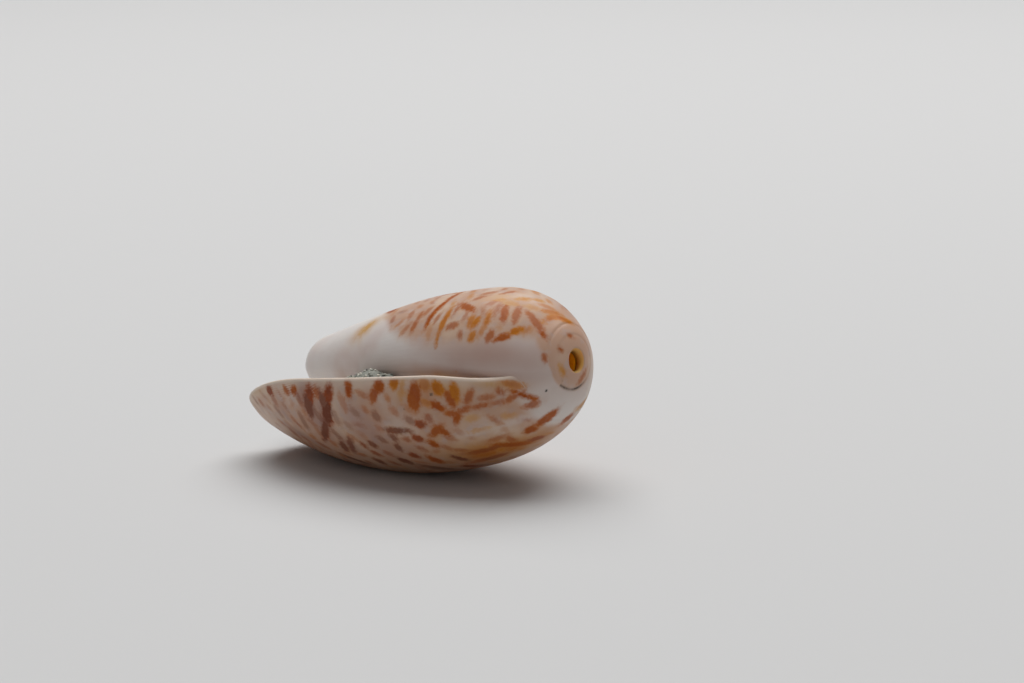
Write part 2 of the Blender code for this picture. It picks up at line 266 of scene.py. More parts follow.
@dataclass(frozen=True)
class ShellForm:
    """The rule that the shell grew by. Each field is a size, in millimetres or degrees."""

    length: float = 37.3
    lip_bearing: float = 174.7
    outline_size: float = 19.3
    outline_shoulder: float = 0.464
    outline_taper: float = 0.561
    outline_taper_power: float = 2.345
    outline_end_power: float = 0.931
    suture_station: float = 2.05
    whorl_step: float = 0.217
    whorl_step_run: float = 13.0
    whorl_flare: float = 1.70
    whorl_flare_power: float = 1.424
    columella_radius: float = 1.6
    columella_hidden_to: float = 11.2
    columella_shows_from: float = 29.8
    wall_thickness: float = 1.0
    front_thickening: float = 1.1
    front_thickens_from: float = 14.0
    lip_thickness: float = 0.55
    wall_thickens_over: float = 6.0
    edge_rounding: float = 0.4
    edge_setback: float = 0.2
    ridge_centred_by: float = 0.6
    lip_setback: float = 4.0
    lip_setback_start: float = 4.5
    lip_setback_end: float = 11.0
    lip_hook: float = 40.0
    lip_hook_length: float = 1.6
    lip_hook_power: float = 3.0
    lip_corner_length: float = 12.0
    lip_corner_angle: float = 20.0
    canal_notch_depth: float = 2.6
    canal_notch_growth: float = -150.0
    canal_notch_width: float = 48.0
    columella_setback: float = 1.7
    columella_dome: float = 2.4
    columella_tip_across: float = 0.35
    columella_tip_up: float = 0.55
    cavity_reach: float = 275.0
    cavity_reach_at_canal: float = 195.0
    cavity_narrows_from: float = 20.0
    cavity_end_spread: float = 40.0
    cavity_end_flattens_from: float = 0.5
    cavity_end_flat_by: float = 0.95
    least_gap: float = 0.05
    least_openness: float = 0.55
    openness_from: float = 8.0
    openness_full_by: float = 16.0
    hole_radius: float = 1.27
    hole_throat_radius: float = 1.02
    hole_offset: float = 0.6
    hole_offset_fades_by: float = 2.4
    spire_wall: float = 0.65
    bend_from: float = 0.3
    bend_power: float = 1.6

    def labels(self) -> dict[str, float]:
        """The sizes under the names that the tree's inputs show."""
        return {item.name.replace("_", " ").capitalize(): getattr(self, item.name)
                for item in fields(self)}

    def within(self, graph: Graph) -> "ShellForm":
        """The same rule, reading its sizes from a tree's named inputs."""
        return replace(self, **{item.name: graph.size(item.name.replace("_", " ").capitalize())
                                for item in fields(self)})

    def lip_radius(self, station: Number) -> Number:
        """Distance from the axis to the outside of the wall at the outer lip."""
        share = clamp(station / self.length, 0.0, 1.05)
        taper = np.maximum(1.0 - self.outline_taper * share**self.outline_taper_power, 0.05)
        return self.outline_size * share**self.outline_shoulder * taper**self.outline_end_power

    def whorl_widening(self, station: Number) -> Number:
        """Natural logarithm of how much wider the wall is than one whorl earlier."""
        past = np.maximum(station - self.suture_station, 0.0)
        return (self.whorl_step * smooth(0.0, self.whorl_step_run, past)
                + self.whorl_flare * (past / self.length)**self.whorl_flare_power)

    def outer_radius(self, station: Number, growth: Number) -> Number:
        """Distance from the axis to the outside of the wall, never under the columella's."""
        coiled = self.lip_radius(station) * np.exp(self.whorl_widening(station) * growth / 360.0)
        core = self.columella_radius * smooth(self.columella_hidden_to,
                                              self.columella_shows_from, station)
        return (coiled**4.0 + core**4.0)**0.25

    def lip_growth(self, station: Number) -> Number:
        """Growth angle of the lip's edge, which hooks back where it meets the spire."""
        setback = self.lip_setback * (
            1.0 - smooth(self.lip_setback_start, self.lip_setback_end, station))
        hook = clamp(1.0 - (station - self.suture_station) / self.lip_hook_length, 0.0, 1.0)
        return -1.0 * setback - self.lip_hook * hook**self.lip_hook_power

    def cavity_growth(self, station: Number) -> Number:
        """Growth angle at which the cavity behind the aperture ends."""
        narrowing = smooth(self.cavity_narrows_from, self.length, station)
        return blend(narrowing, -1.0 * self.cavity_reach, -1.0 * self.cavity_reach_at_canal)

    def front_margin(self, growth: Number) -> Number:
        """Station of the front margin, with the canal's notch and the lip's round corner."""
        away = (growth - self.canal_notch_growth) / self.canal_notch_width
        notch = self.canal_notch_depth * np.exp(-1.0 * away * away)
        share = clamp(1.0 + growth / self.lip_corner_angle, 0.0, 1.0)
        corner = self.lip_corner_length * (1.0 - np.sqrt(1.0 - share * share))
        return self.length - notch - corner

    def edge_distance(self, station: Number, growth: Number) -> Number:
        """Distance over the surface, near enough, from a point to the wall's free edge."""
        radius = self.outer_radius(station, growth)
        from_lip = np.radians(self.lip_growth(station) - growth) * radius
        away = (growth - self.canal_notch_growth) / self.canal_notch_width
        from_front = self.length - self.canal_notch_depth * np.exp(-1.0 * away * away) - station
        across = np.maximum(1.0 + growth / self.lip_corner_angle, 0.0)
        along = np.maximum(1.0 + (station - self.length) / self.lip_corner_length, 0.0)
        reach = np.maximum(distance(across, along), 1e-6)
        slope = distance(across / (reach * np.radians(self.lip_corner_angle) * radius),
                         along / (reach * self.lip_corner_length))
        far = 1000.0
        from_corner = blend(np.greater(along, 0.0) * 1.0, far,
                            (1.0 - reach) / np.maximum(slope, 1e-6))
        nearest = np.minimum(np.minimum(from_lip, from_front), from_corner)
        return np.maximum(nearest, 0.0)

    def cavity_gap(self, station: Number, growth: Number) -> Number:
        """Space between the wall's inside and the older whorl, nothing near the spire."""
        full = self.wall_thickness + self.front_thickening * smooth(
            self.front_thickens_from, self.length, station)
        inland = smooth(0.0, self.wall_thickens_over, self.edge_distance(station, growth))
        thickness = blend(inland, self.lip_thickness, full)
        room = self.outer_radius(station, growth) - self.outer_radius(station, growth - 360.0)
        most = room * (1.0 - self.least_openness * smooth(
            self.openness_from, self.openness_full_by, station))
        gap = room - np.minimum(thickness, most)
        return gap * (np.greater(gap, self.least_gap) * 1.0)

    def bearing(self, growth: Number) -> Number:
        """Direction round the axis of a growth angle, in radians."""
        return np.radians(self.lip_bearing - growth)

    def bent_station(self, way: Number, limit: Number) -> Number:
        """Station on a line that is straight near the spire and ends at limit in front."""
        bend = clamp((way - self.bend_from) / (1.0 - self.bend_from), 0.0, 1.0)
        return self.length * way + (limit - self.length) * bend**self.bend_power

    def wall_growth(self, way: Number, curl: Number, share: Number) -> Number:
        """Growth angle across the wall over the cavity.

        Args:
            way: share of the way to the front margin.
            curl: share of the lip's edge that is rounded so far.
            share: share of the way on from there to the end of the cavity.

        Returns:
            The growth angle in degrees.
        """
        lip = self.lip_growth(self.length * way)
        depth = np.degrees(self.edge_rounding / self.outer_radius(self.length * way, lip))
        return blend(share, lip - depth * curl, self.cavity_growth(self.length * way))

    def wall_station(self, way: Number, dome: Number, growth: Number) -> Number:
        """Station of the wall over the cavity, whose front margin closes as dome rises."""
        limit = self.front_margin(growth) - self.edge_setback
        return self.bent_station(way, limit) + self.edge_setback * dome

    def body_growth(self, way: Number, share: Number) -> Number:
        """Growth angle over the older whorl, from the cavity's end to under the lip."""
        start = self.cavity_growth(self.length * way) - self.cavity_end_spread
        return blend(share, start, self.lip_growth(self.length * way) - 360.0)

    def offset(self, station: Number) -> Number:
        """How far the rings near the hole are moved up."""
        return self.hole_offset * (1.0 - smooth(0.0, self.hole_offset_fades_by, station))


class Stretch(IntEnum):
    """Which stretch of the shell's surface a point belongs to."""

    WALL_OUTSIDE = 0
    WALL_INSIDE = 1
    JOIN = 2
    CAVITY_END = 3
    BODY = 4
    CORE = 5
    HOLLOW = 6
    THROAT = 7


Place = tuple


class Coil:
    """The rule in a tree: where each point of the unrolled sheet goes."""

    def __init__(self, form: ShellForm, graph: Graph) -> None:
        """Reads the sizes from the tree's inputs and the point's numbers from the sheet."""
        self.form = form.within(graph)
        self.way, self.dome, self.curl, self.share = (
            graph.attribute(name) for name in ("way", "dome", "curl", "share"))
        self.shrink = np.sqrt(np.maximum(1.0 - self.dome * self.dome, 0.0))

    def _at(self, station: Number, growth: Number, radius: Number) -> Place:
        bearing = self.form.bearing(growth)
        return station, radius * np.cos(bearing), radius * np.sin(bearing), growth

    def wall(self) -> tuple[Place, Place, Field]:
        """The wall over the cavity.

        Returns:
            The places of its outside and its inside, and the gap under it.
        """
        form = self.form
        growth = form.wall_growth(self.way, self.curl, self.share)
        station = form.wall_station(self.way, self.dome, growth)
        outside = form.outer_radius(station, growth)
        gap = form.cavity_gap(station, growth)
        inside = form.outer_radius(station, growth - 360.0) + gap
        ridge = inside + 0.5 * (outside - inside) * smooth(0.0, form.ridge_centred_by, gap)
        near = clamp(1.0 - form.edge_distance(station, growth) / form.edge_rounding, 0.0, 1.0)
        fullness = np.sqrt(1.0 - near * near) * (np.less(self.dome, 0.9999) * 1.0)
        return (self._at(station, growth, blend(fullness, ridge, outside)),
                self._at(station, growth, blend(fullness, ridge, inside)), gap)

    def join(self) -> tuple[Place, Place, Field]:
        """The two sides of the shell's material where the wall meets the older whorl.

        Returns:
            The places of its outside and of the cavity's end, and the gap there.
        """
        form, way, share = self.form, self.way, self.share
        last = form.cavity_growth(form.length * way)
        wall_station = form.wall_station(way, self.dome, last)
        gap = form.cavity_gap(wall_station, last)
        inside = form.outer_radius(wall_station, last - 360.0) + gap
        core_station = self.core_station()
        station = blend(smooth(0.0, 1.0, share), wall_station, core_station)
        growth = last - form.cavity_end_spread * share
        foot = form.outer_radius(core_station, last - 360.0)
        roundness = 1.0 - smooth(form.cavity_end_flattens_from, form.cavity_end_flat_by, way)
        bulge = np.degrees(0.5 * gap / foot) * np.sin(math.pi * share) * roundness
        rise = 0.5 * (1.0 + np.cos(math.pi * share))
        out = self._at(station, growth, form.outer_radius(station, growth))
        end = self._at(station, last - 360.0 - bulge, blend(rise, foot, inside))
        tip = (form.columella_tip_across, form.columella_tip_up)
        crest = [blend(smooth(0.0, 1.0, share), 0.5 * (out[i + 1] + end[i + 1]), tip[i])
                 for i in range(2)]
        sides = [(side[0], *(blend(self.shrink, crest[i], side[i + 1]) for i in range(2)),
                  side[3]) for side in (out, end)]
        return sides[0], sides[1], gap

    def core_station(self) -> Field:
        """Station of the older whorl and of the columella's tip."""
        form = self.form
        limit = form.length - form.columella_setback - form.columella_dome
        return form.bent_station(self.way, limit) + form.columella_dome * self.dome

    def core(self, growth: Field) -> Place:
        """The older whorl, which closes on the columella's tip."""
        form = self.form
        station = self.core_station()
        place = self._at(station, growth, form.outer_radius(station, growth))
        tip = (form.columella_tip_across, form.columella_tip_up)
        return (station, *(blend(self.shrink, tip[i], place[i + 1]) for i in range(2)), growth)

    def hollow(self, graph: Graph) -> Place:
        """The hollow inside the older whorls, which the hole opens into."""
        form = self.form
        base, column = graph.attribute("base"), graph.attribute("column")
        turned = np.remainder(-1.0 * column + 1e-4, 360.0)
        growth = np.maximum(-360.0 - turned, -360.0 - form.cavity_reach)
        radius = blend(smooth(form.cavity_reach, 360.0, turned),
                       form.outer_radius(base, growth), form.outer_radius(base, -360.0))
        reach = 0.05
        slope = (form.lip_radius(base + reach) - form.lip_radius(base - reach)) / (2.0 * reach)
        steepness = distance(slope, 1.0)
        station = base + form.spire_wall * slope / steepness + graph.attribute("shift")
        inner = (radius - form.spire_wall / steepness) * graph.attribute("narrowing")
        return self._at(station, column, inner)


@dataclass
class Sheet:
    """The shell's surface unrolled: how its points are numbered and joined.

    A row runs once round the shell. Its first columns go over the outside, and the rest
    line the aperture. Rows of the hole and the hollow have the first columns alone.
    """

    form: ShellForm
    rows: int = 204
    front_rows: int = 6
    edge_steps: int = 5
    wall_steps: int = 216
    inside_every: int = 4
    join_steps: int = 24
    body_steps: int = 36
    hollow_rows: int = 9
    hollow_from: float = 0.62
    hollow_end: float = 22.0
    hollow_dome: float = 1.2
    rim_steps: tuple[float, float] = (0.13, 0.44)
    back_bevel: float = 0.1
    spire_detail: float = 1.3
    spire_detail_ends: tuple[float, float] = (4.5, 7.5)

    def __post_init__(self) -> None:
        """Numbers every point and joins them."""
        self.points: list[dict[str, float]] = []
        self.faces: list[tuple[int, ...]] = []
        self.pairs: list[tuple[int, int]] = []
        self._number_shell()
        self._join_shell()
        self._join_hole()

    def ways(self) -> np.ndarray:
        """Shares of the way to the front of each row, closest together on the spire."""
        first = (self.form.hole_radius / self.form.outline_size)**(
            1.0 / self.form.outline_shoulder)
        fine = np.linspace(0.0, 1.0, 4001)**2
        station = self.form.length * (first + (1.0 - first) * fine)
        run = np.concatenate([[0.0], np.cumsum(distance(
            np.diff(station), np.diff(self.form.lip_radius(station))))])
        start, end = self.spire_detail_ends
        density = 1.0 + self.spire_detail * (1.0 - smooth(start, end, run))
        count = np.concatenate([[0.0], np.cumsum(0.5 * (density[1:] + density[:-1])
                                                 * np.diff(run))])
        even = np.linspace(0.0, count[-1], self.rows)
        return np.interp(even, count, station) / self.form.length

    def _columns(self) -> list[dict[str, float]]:
        """What each column of a full row holds: its stretch, curl and share."""
        turn = np.linspace(0.0, 0.5 * math.pi, self.edge_steps + 1)
        edge = [{"curl": 1.0 - math.cos(angle), "share": 0.0} for angle in turn]
        wall = edge + [{"curl": 1.0, "share": (step + 1) / self.wall_steps}
                       for step in range(self.wall_steps)]
        inner = list(range(self.edge_steps + 1)) + list(
            range(self.edge_steps + self.inside_every, len(wall), self.inside_every))
        between = np.linspace(0.0, 1.0, self.join_steps + 2)[1:-1]
        body = np.linspace(0.0, 1.0, self.body_steps + 1)[:-1]
        self.subset = inner
        self.over = len(wall) + len(between) + len(body)
        columns = [{"stretch": Stretch.WALL_OUTSIDE, **item} for item in wall]
        columns += [{"stretch": Stretch.JOIN, "curl": 1.0, "share": share} for share in between]
        columns += [{"stretch": Stretch.BODY, "curl": 1.0, "share": share} for share in body]
        columns += [{"stretch": Stretch.CORE, **wall[index]} for index in inner]
        columns += [{"stretch": Stretch.CAVITY_END, "curl": 1.0, "share": share}
                    for share in between[::-1]]
        columns += [{"stretch": Stretch.WALL_INSIDE, **wall[index]} for index in inner[:0:-1]]
        return columns

    def _point(self, **numbers: float) -> int:
        self.points.append(numbers)
        return len(self.points) - 1

    def _number_shell(self) -> None:
        columns = self._columns()
        inner = len(self.subset)
        turns = np.linspace(0.0, 0.5 * math.pi, self.front_rows + 1)[1:]
        rows = [(way, 0.0) for way in self.ways()]
        rows += [(1.0, math.sin(turn)) for turn in turns[:-1]]
        self.loops = [[self._point(way=way, dome=dome, **column) for column in columns]
                      for way, dome in rows]
        for loop in self.loops:
            core = loop[self.over:self.over + inner]
            lining = [loop[0]] + loop[:self.over + inner + self.join_steps - 1:-1]
            self.pairs += zip(lining, core)
            self.pairs += [(point, core[-1]) for point
                           in loop[self.over + inner:self.over + inner + self.join_steps]]
        tip = None
        closing = []
        crest: list[int] = []
        wall = self.edge_steps + 1 + self.wall_steps
        for index, column in enumerate(columns):
            kind = column["stretch"]
            if kind in (Stretch.BODY, Stretch.CORE):
                tip = self._point(way=1.0, dome=1.0, **column) if tip is None else tip
                closing.append(tip)
            elif kind == Stretch.CAVITY_END:
                closing.append(crest[self.join_steps - 1 - (index - self.over - inner)])
            elif kind == Stretch.WALL_INSIDE:
                place = inner - 1 - (index - self.over - inner - self.join_steps)
                closing.append(closing[self.subset[place]])
            else:
                closing.append(self._point(way=1.0, dome=1.0, **column))
                if kind == Stretch.JOIN:
                    crest.append(closing[-1])
        self.closing = closing
        self.wall_columns = wall

    def _join_shell(self) -> None:
        size = len(self.loops[0])
        for here, ahead in zip(self.loops, self.loops[1:]):
            self.faces += [(here[i], here[(i + 1) % size], ahead[(i + 1) % size], ahead[i])
                           for i in range(size)]
        here, ahead = self.loops[-1], self.closing
        first_lining = size - (len(self.subset) - 1)
        for i in range(size):
            beside = (i + 1) % size
            rim = [ahead[beside], ahead[i]]
            if i >= first_lining:
                place = size - 1 - i
                low, high = self.subset[place], self.subset[place + 1]
                rim = [ahead[column] for column in range(low, high + 1)]
            self.faces.append((here[i], here[beside], *rim))

    def _join_hole(self) -> None:
        first = self.loops[0][:self.over]
        way = self.points[first[0]]["way"]
        growths = [self._growth(self.points[point], way) for point in first]
        rim = way * self.form.length
        spread = np.linspace(1.0, (self.hollow_from / self.hollow_end)**0.5, self.hollow_rows)
        bases = self.hollow_end * spread**2
        rings = [("dome", bases[0], self.hollow_dome * 0.6, 0.4**0.5)]
        rings += [("hollow", base, 0.0, 1.0) for base in bases]
        middle = 0.5 * (self.form.hole_throat_radius + self.form.hole_radius)
        slope = 0.5 * self.form.outline_size
        back = self.hollow_from + self.form.spire_wall - self.back_bevel
        rings += [("throat", back + 0.0 * slope, 0.0,
                   self.form.hole_throat_radius + self.back_bevel),
                  ("throat", rim + self.rim_steps[1], 0.0, self.form.hole_throat_radius),
                  ("throat", rim + 0.5 * self.rim_steps[1], 0.0,
                   0.3 * middle + 0.7 * self.form.hole_throat_radius),
                  ("throat", rim + self.rim_steps[0], 0.0, middle)]
        loops = []
        for kind, base, shift, narrowing in rings:
            stretch = Stretch.THROAT if kind == "throat" else Stretch.HOLLOW
            loops.append([self._point(stretch=stretch, way=way, base=base, shift=shift,
                                      narrowing=narrowing, column=growth)
                          for growth in growths])
        loops.append(first)
        for here, ahead in zip(loops, loops[1:]):
            self.faces += [(here[i], here[(i + 1) % self.over],
                            ahead[(i + 1) % self.over], ahead[i]) for i in range(self.over)]
        centre = self._point(stretch=Stretch.HOLLOW, way=way, base=bases[0],
                             shift=self.hollow_dome, narrowing=0.0, column=growths[0])
        self.faces += [(centre, loops[0][(i + 1) % self.over], loops[0][i])
                       for i in range(self.over)]

    def _growth(self, point: dict[str, float], way: float) -> float:
        if point["stretch"] == Stretch.WALL_OUTSIDE:
            return float(self.form.wall_growth(way, point["curl"], point["share"]))
        if point["stretch"] == Stretch.BODY:
            return float(self.form.body_growth(way, point["share"]))
        last = float(self.form.cavity_growth(self.form.length * way))
        return last - self.form.cavity_end_spread * point["share"]

    def mesh(self) -> bpy.types.Mesh:
        """The sheet as a mesh that carries each point's numbers as attributes."""
        data = bpy.data.meshes.new("unrolled_shell")
        data.from_pydata([(0.0, 0.0, 0.0)] * len(self.points), [], self.faces)
        for name in ("stretch", "way", "dome", "curl", "share", "base", "shift",
                     "narrowing", "column"):
            values = np.array([point.get(name, 0.0) for point in self.points], np.float32)
            write(data, name, values)
        return data


def write(data: bpy.types.Mesh, name: str, values: np.ndarray) -> None:
    """Stores one number for each vertex of a mesh."""
    layer = data.attributes.get(name) or data.attributes.new(name, "FLOAT", "POINT")
    layer.data.foreach_set("value", values.astype(np.float32))


def read(data: bpy.types.Mesh, name: str) -> np.ndarray:
    """Reads one number for each vertex of a mesh."""
    values = np.empty(len(data.vertices), np.float32)
    data.attributes[name].data.foreach_get("value", values)
    return values.astype(float)


def places(data: bpy.types.Mesh) -> np.ndarray:
    """The places of a mesh's vertices."""
    values = np.empty(3 * len(data.vertices), np.float32)
    data.vertices.foreach_get("co", values)
    return values.astype(float).reshape(-1, 3)


def normals(data: bpy.types.Mesh) -> np.ndarray:
    """The directions that a mesh's vertices face."""
    values = np.empty(3 * len(data.vertices), np.float32)
    data.vertex_normals.foreach_get("vector", values)
    return values.astype(float).reshape(-1, 3)


def unit(vector: np.ndarray) -> np.ndarray:
    """A vector, or each row of vectors, at length 1."""
    return vector / np.linalg.norm(vector, axis=-1, keepdims=True)


class Tone:
    """How the enamel's marks look: a brown from pale ochre at 0 to purple-brown at 1."""

    OCHRE = 0.1
    ORANGE = 0.32
    RUSSET = 0.55
    RED_BROWN = 0.75
    PLUM = 0.95


@dataclass(frozen=True)
class Mark:
    """One brown mark, placed over the photograph's frame of 1024 by 683 pixels."""

    start: tuple[float, float]
    end: tuple[float, float]
    width: float
    tone: float = Tone.RUSSET
    strength: float = 1.0
    taper: float = 0.0


@dataclass(frozen=True)
class Cloud:
    """A soft patch of colour in the enamel, placed in the same way."""

    start: tuple[float, float]
    end: tuple[float, float]
    width: float
    strength: float = 1.0


LIP_ROW = (
    Mark((268, 386), (271, 394), 0.9, Tone.RED_BROWN),
    Mark((271, 394), (275, 402), 0.5, Tone.RED_BROWN, 0.55),
    Mark((285, 388), (288, 393), 0.5, Tone.RUSSET, 0.9),
    Mark((294, 388), (294, 393), 0.7, Tone.RUSSET),
    Mark((296, 392), (301, 403), 0.6, Tone.RED_BROWN, 0.6),
    Mark((309, 387), (310, 400), 0.8, Tone.RED_BROWN),
    Mark((307, 398), (311, 414), 1.1, Tone.PLUM, 0.9),
    Mark((314, 388), (318, 396), 0.45, Tone.RUSSET, 0.8),
    Mark((329, 387), (327, 403), 0.85, Tone.RED_BROWN),
    Mark((320, 394), (328, 410), 0.8, Tone.PLUM, 0.85),
    Mark((327, 402), (328, 422), 1.0, Tone.PLUM),
    Mark((326, 420), (325, 438), 0.7, Tone.PLUM, 0.9),
    Mark((313, 408), (321, 420), 0.5, Tone.PLUM, 0.5),
    Mark((348, 384), (349, 395), 0.65, Tone.RUSSET),
    Mark((341, 398), (345, 408), 0.45, Tone.RUSSET, 0.45),
    Mark((379, 382), (379, 390), 0.85, Tone.RUSSET),
    Mark((375, 390), (373, 399), 0.7, Tone.RUSSET, 0.9),
    Mark((394, 381), (394, 386), 0.75, Tone.ORANGE),
    Mark((402, 384), (401, 396), 0.4, Tone.OCHRE, 0.6),
    Mark((415, 387), (414, 406), 1.15, Tone.RUSSET, 0.95),
    Mark((423, 382), (426, 388), 0.9, Tone.ORANGE, 0.7),
    Mark((435, 385), (440, 392), 0.9, Tone.ORANGE),
    Mark((432, 404), (441, 408), 0.7, Tone.RUSSET),
    Mark((424, 402), (432, 405), 0.5, Tone.ORANGE, 0.7),
    Mark((453, 386), (456, 399), 0.65, Tone.ORANGE),
    Mark((448, 395), (453, 404), 0.6, Tone.RUSSET, 0.95),
    Mark((471, 392), (467, 401), 0.5, Tone.RUSSET, 0.8),
    Mark((482, 398), (490, 397), 0.35, Tone.RUSSET, 0.65),
    Mark((499, 390), (502, 394), 0.4, Tone.RUSSET, 0.8),
    Mark((508, 400), (518, 394), 0.32, Tone.RUSSET, 0.8),
    Mark((517, 393), (532, 398), 0.38, Tone.RUSSET, 1.0),
    Mark((492, 404), (503, 401), 0.3, Tone.RUSSET, 0.6),
    Mark((528, 406), (537, 403), 0.55, Tone.RUSSET, 0.8),
    Mark((505, 383), (519, 386), 0.6, Tone.ORANGE, 0.75),
)

LOWER_WALL = (
    Mark((476, 407), (486, 405), 0.35, Tone.RUSSET, 0.8),
    Mark((460, 411), (467, 408), 0.4, Tone.RUSSET, 0.85),
    Mark((449, 413), (457, 415), 0.42, Tone.RUSSET, 0.9),
    Mark((457, 414), (456, 421), 0.5, Tone.RUSSET, 0.95),
    Mark((418, 424), (424, 425), 0.65, Tone.RED_BROWN, 0.9),
    Mark((428, 417), (430, 420), 0.45, Tone.RED_BROWN, 0.6),
    Mark((433, 434), (439, 428), 0.55, Tone.RUSSET, 0.9),
    Mark((438, 428), (447, 434), 0.55, Tone.RUSSET, 0.95),
    Mark((415, 437), (421, 440), 0.6, Tone.RED_BROWN, 0.9),
    Mark((430, 443), (437, 446), 0.6, Tone.RUSSET, 0.95),
    Mark((411, 454), (418, 457), 0.6, Tone.RED_BROWN, 0.9),
    Mark((431, 458), (441, 462), 0.8, Tone.RUSSET, 0.95),
    Mark((400, 459), (411, 463), 0.6, Tone.PLUM, 0.9),
    Mark((342, 443), (346, 450), 0.65, Tone.PLUM, 0.85),
    Mark((350, 441), (353, 450), 0.55, Tone.PLUM, 0.75),
    Mark((371, 443), (375, 446), 0.5, Tone.PLUM, 0.8),
    Mark((377, 460), (383, 463), 0.55, Tone.PLUM, 0.85),
    Mark((397, 446), (401, 450), 0.5, Tone.PLUM, 0.75),
    Mark((389, 430), (405, 431), 0.55, Tone.PLUM, 0.85),
    Mark((391, 436), (395, 439), 0.5, Tone.PLUM, 0.7),
    Mark((375, 414), (378, 419), 0.5, Tone.PLUM, 0.55),
    Mark((392, 409), (396, 413), 0.45, Tone.RUSSET, 0.45),
    Mark((407, 419), (412, 422), 0.5, Tone.PLUM, 0.5),
    Mark((379, 438), (384, 441), 0.45, Tone.PLUM, 0.55),
    Mark((291, 430), (298, 436), 0.6, Tone.RED_BROWN, 0.6),
    Mark((276, 408), (282, 416), 0.45, Tone.PLUM, 0.45),
    Mark((301, 417), (307, 427), 0.5, Tone.PLUM, 0.5),
    Mark((333, 412), (338, 422), 0.45, Tone.PLUM, 0.4),
    Mark((303, 437), (309, 441), 0.45, Tone.RED_BROWN, 0.55),
    Mark((346, 456), (366, 463), 0.45, Tone.PLUM, 0.85),
    Mark((319, 443), (328, 448), 0.45, Tone.RED_BROWN, 0.55),
    Mark((362, 444), (366, 447), 0.35, Tone.RED_BROWN, 0.75),
    Mark((373, 452), (379, 455), 0.32, Tone.RED_BROWN, 0.75),
    Mark((352, 410), (358, 415), 0.45, Tone.PLUM, 0.4),
    Mark((385, 452), (392, 455), 0.35, Tone.RED_BROWN, 0.55),
    Mark((418, 447), (423, 449), 0.3, Tone.RED_BROWN, 0.55),
    Mark((443, 446), (450, 449), 0.4, Tone.RUSSET, 0.5),
    Mark((425, 466), (450, 469), 0.6, Tone.PLUM, 0.7),
    Mark((334, 432), (339, 437), 0.4, Tone.PLUM, 0.5),
    Mark((446, 437), (452, 439), 0.35, Tone.RUSSET, 0.5),
    Mark((310, 443), (318, 450), 0.5, Tone.RED_BROWN, 0.4),
    Mark((455, 457), (466, 460), 0.6, Tone.PLUM, 0.9),
    Mark((471, 453), (500, 446), 0.5, Tone.RED_BROWN, 0.7),
    Mark((478, 461), (502, 455), 0.6, Tone.RED_BROWN, 0.75),
    Mark((492, 440), (502, 437), 0.4, Tone.RUSSET, 0.6),
    Mark((436, 451), (436.5, 451.5), 0.5, Tone.RUSSET, 0.4),
    Mark((464, 466), (476, 466), 0.7, Tone.RED_BROWN, 0.9),
    Mark((488, 459), (470, 463), 0.5, Tone.RUSSET, 0.7),
    Mark((500, 445), (527, 443), 0.6, Tone.RUSSET, 0.9),
    Mark((508, 438), (514, 441), 0.5, Tone.RUSSET, 0.7),
    Mark((531, 440), (542, 437), 0.45, Tone.RED_BROWN, 0.8),
    Mark((527, 431), (534, 429), 0.8, Tone.RUSSET, 0.95),
    Mark((540, 423), (554, 413), 0.75, Tone.RUSSET, 0.95),
    Mark((563, 422), (570, 416), 0.6, Tone.RUSSET, 0.9),
    Mark((578, 408), (584, 402), 0.5, Tone.OCHRE, 0.8),
    Mark((474, 431), (484, 429), 0.35, Tone.OCHRE, 0.5),
    Mark((470, 419), (475, 418), 0.4, Tone.OCHRE, 0.5),
    Mark((506, 416), (512, 415), 0.35, Tone.OCHRE, 0.5),
)

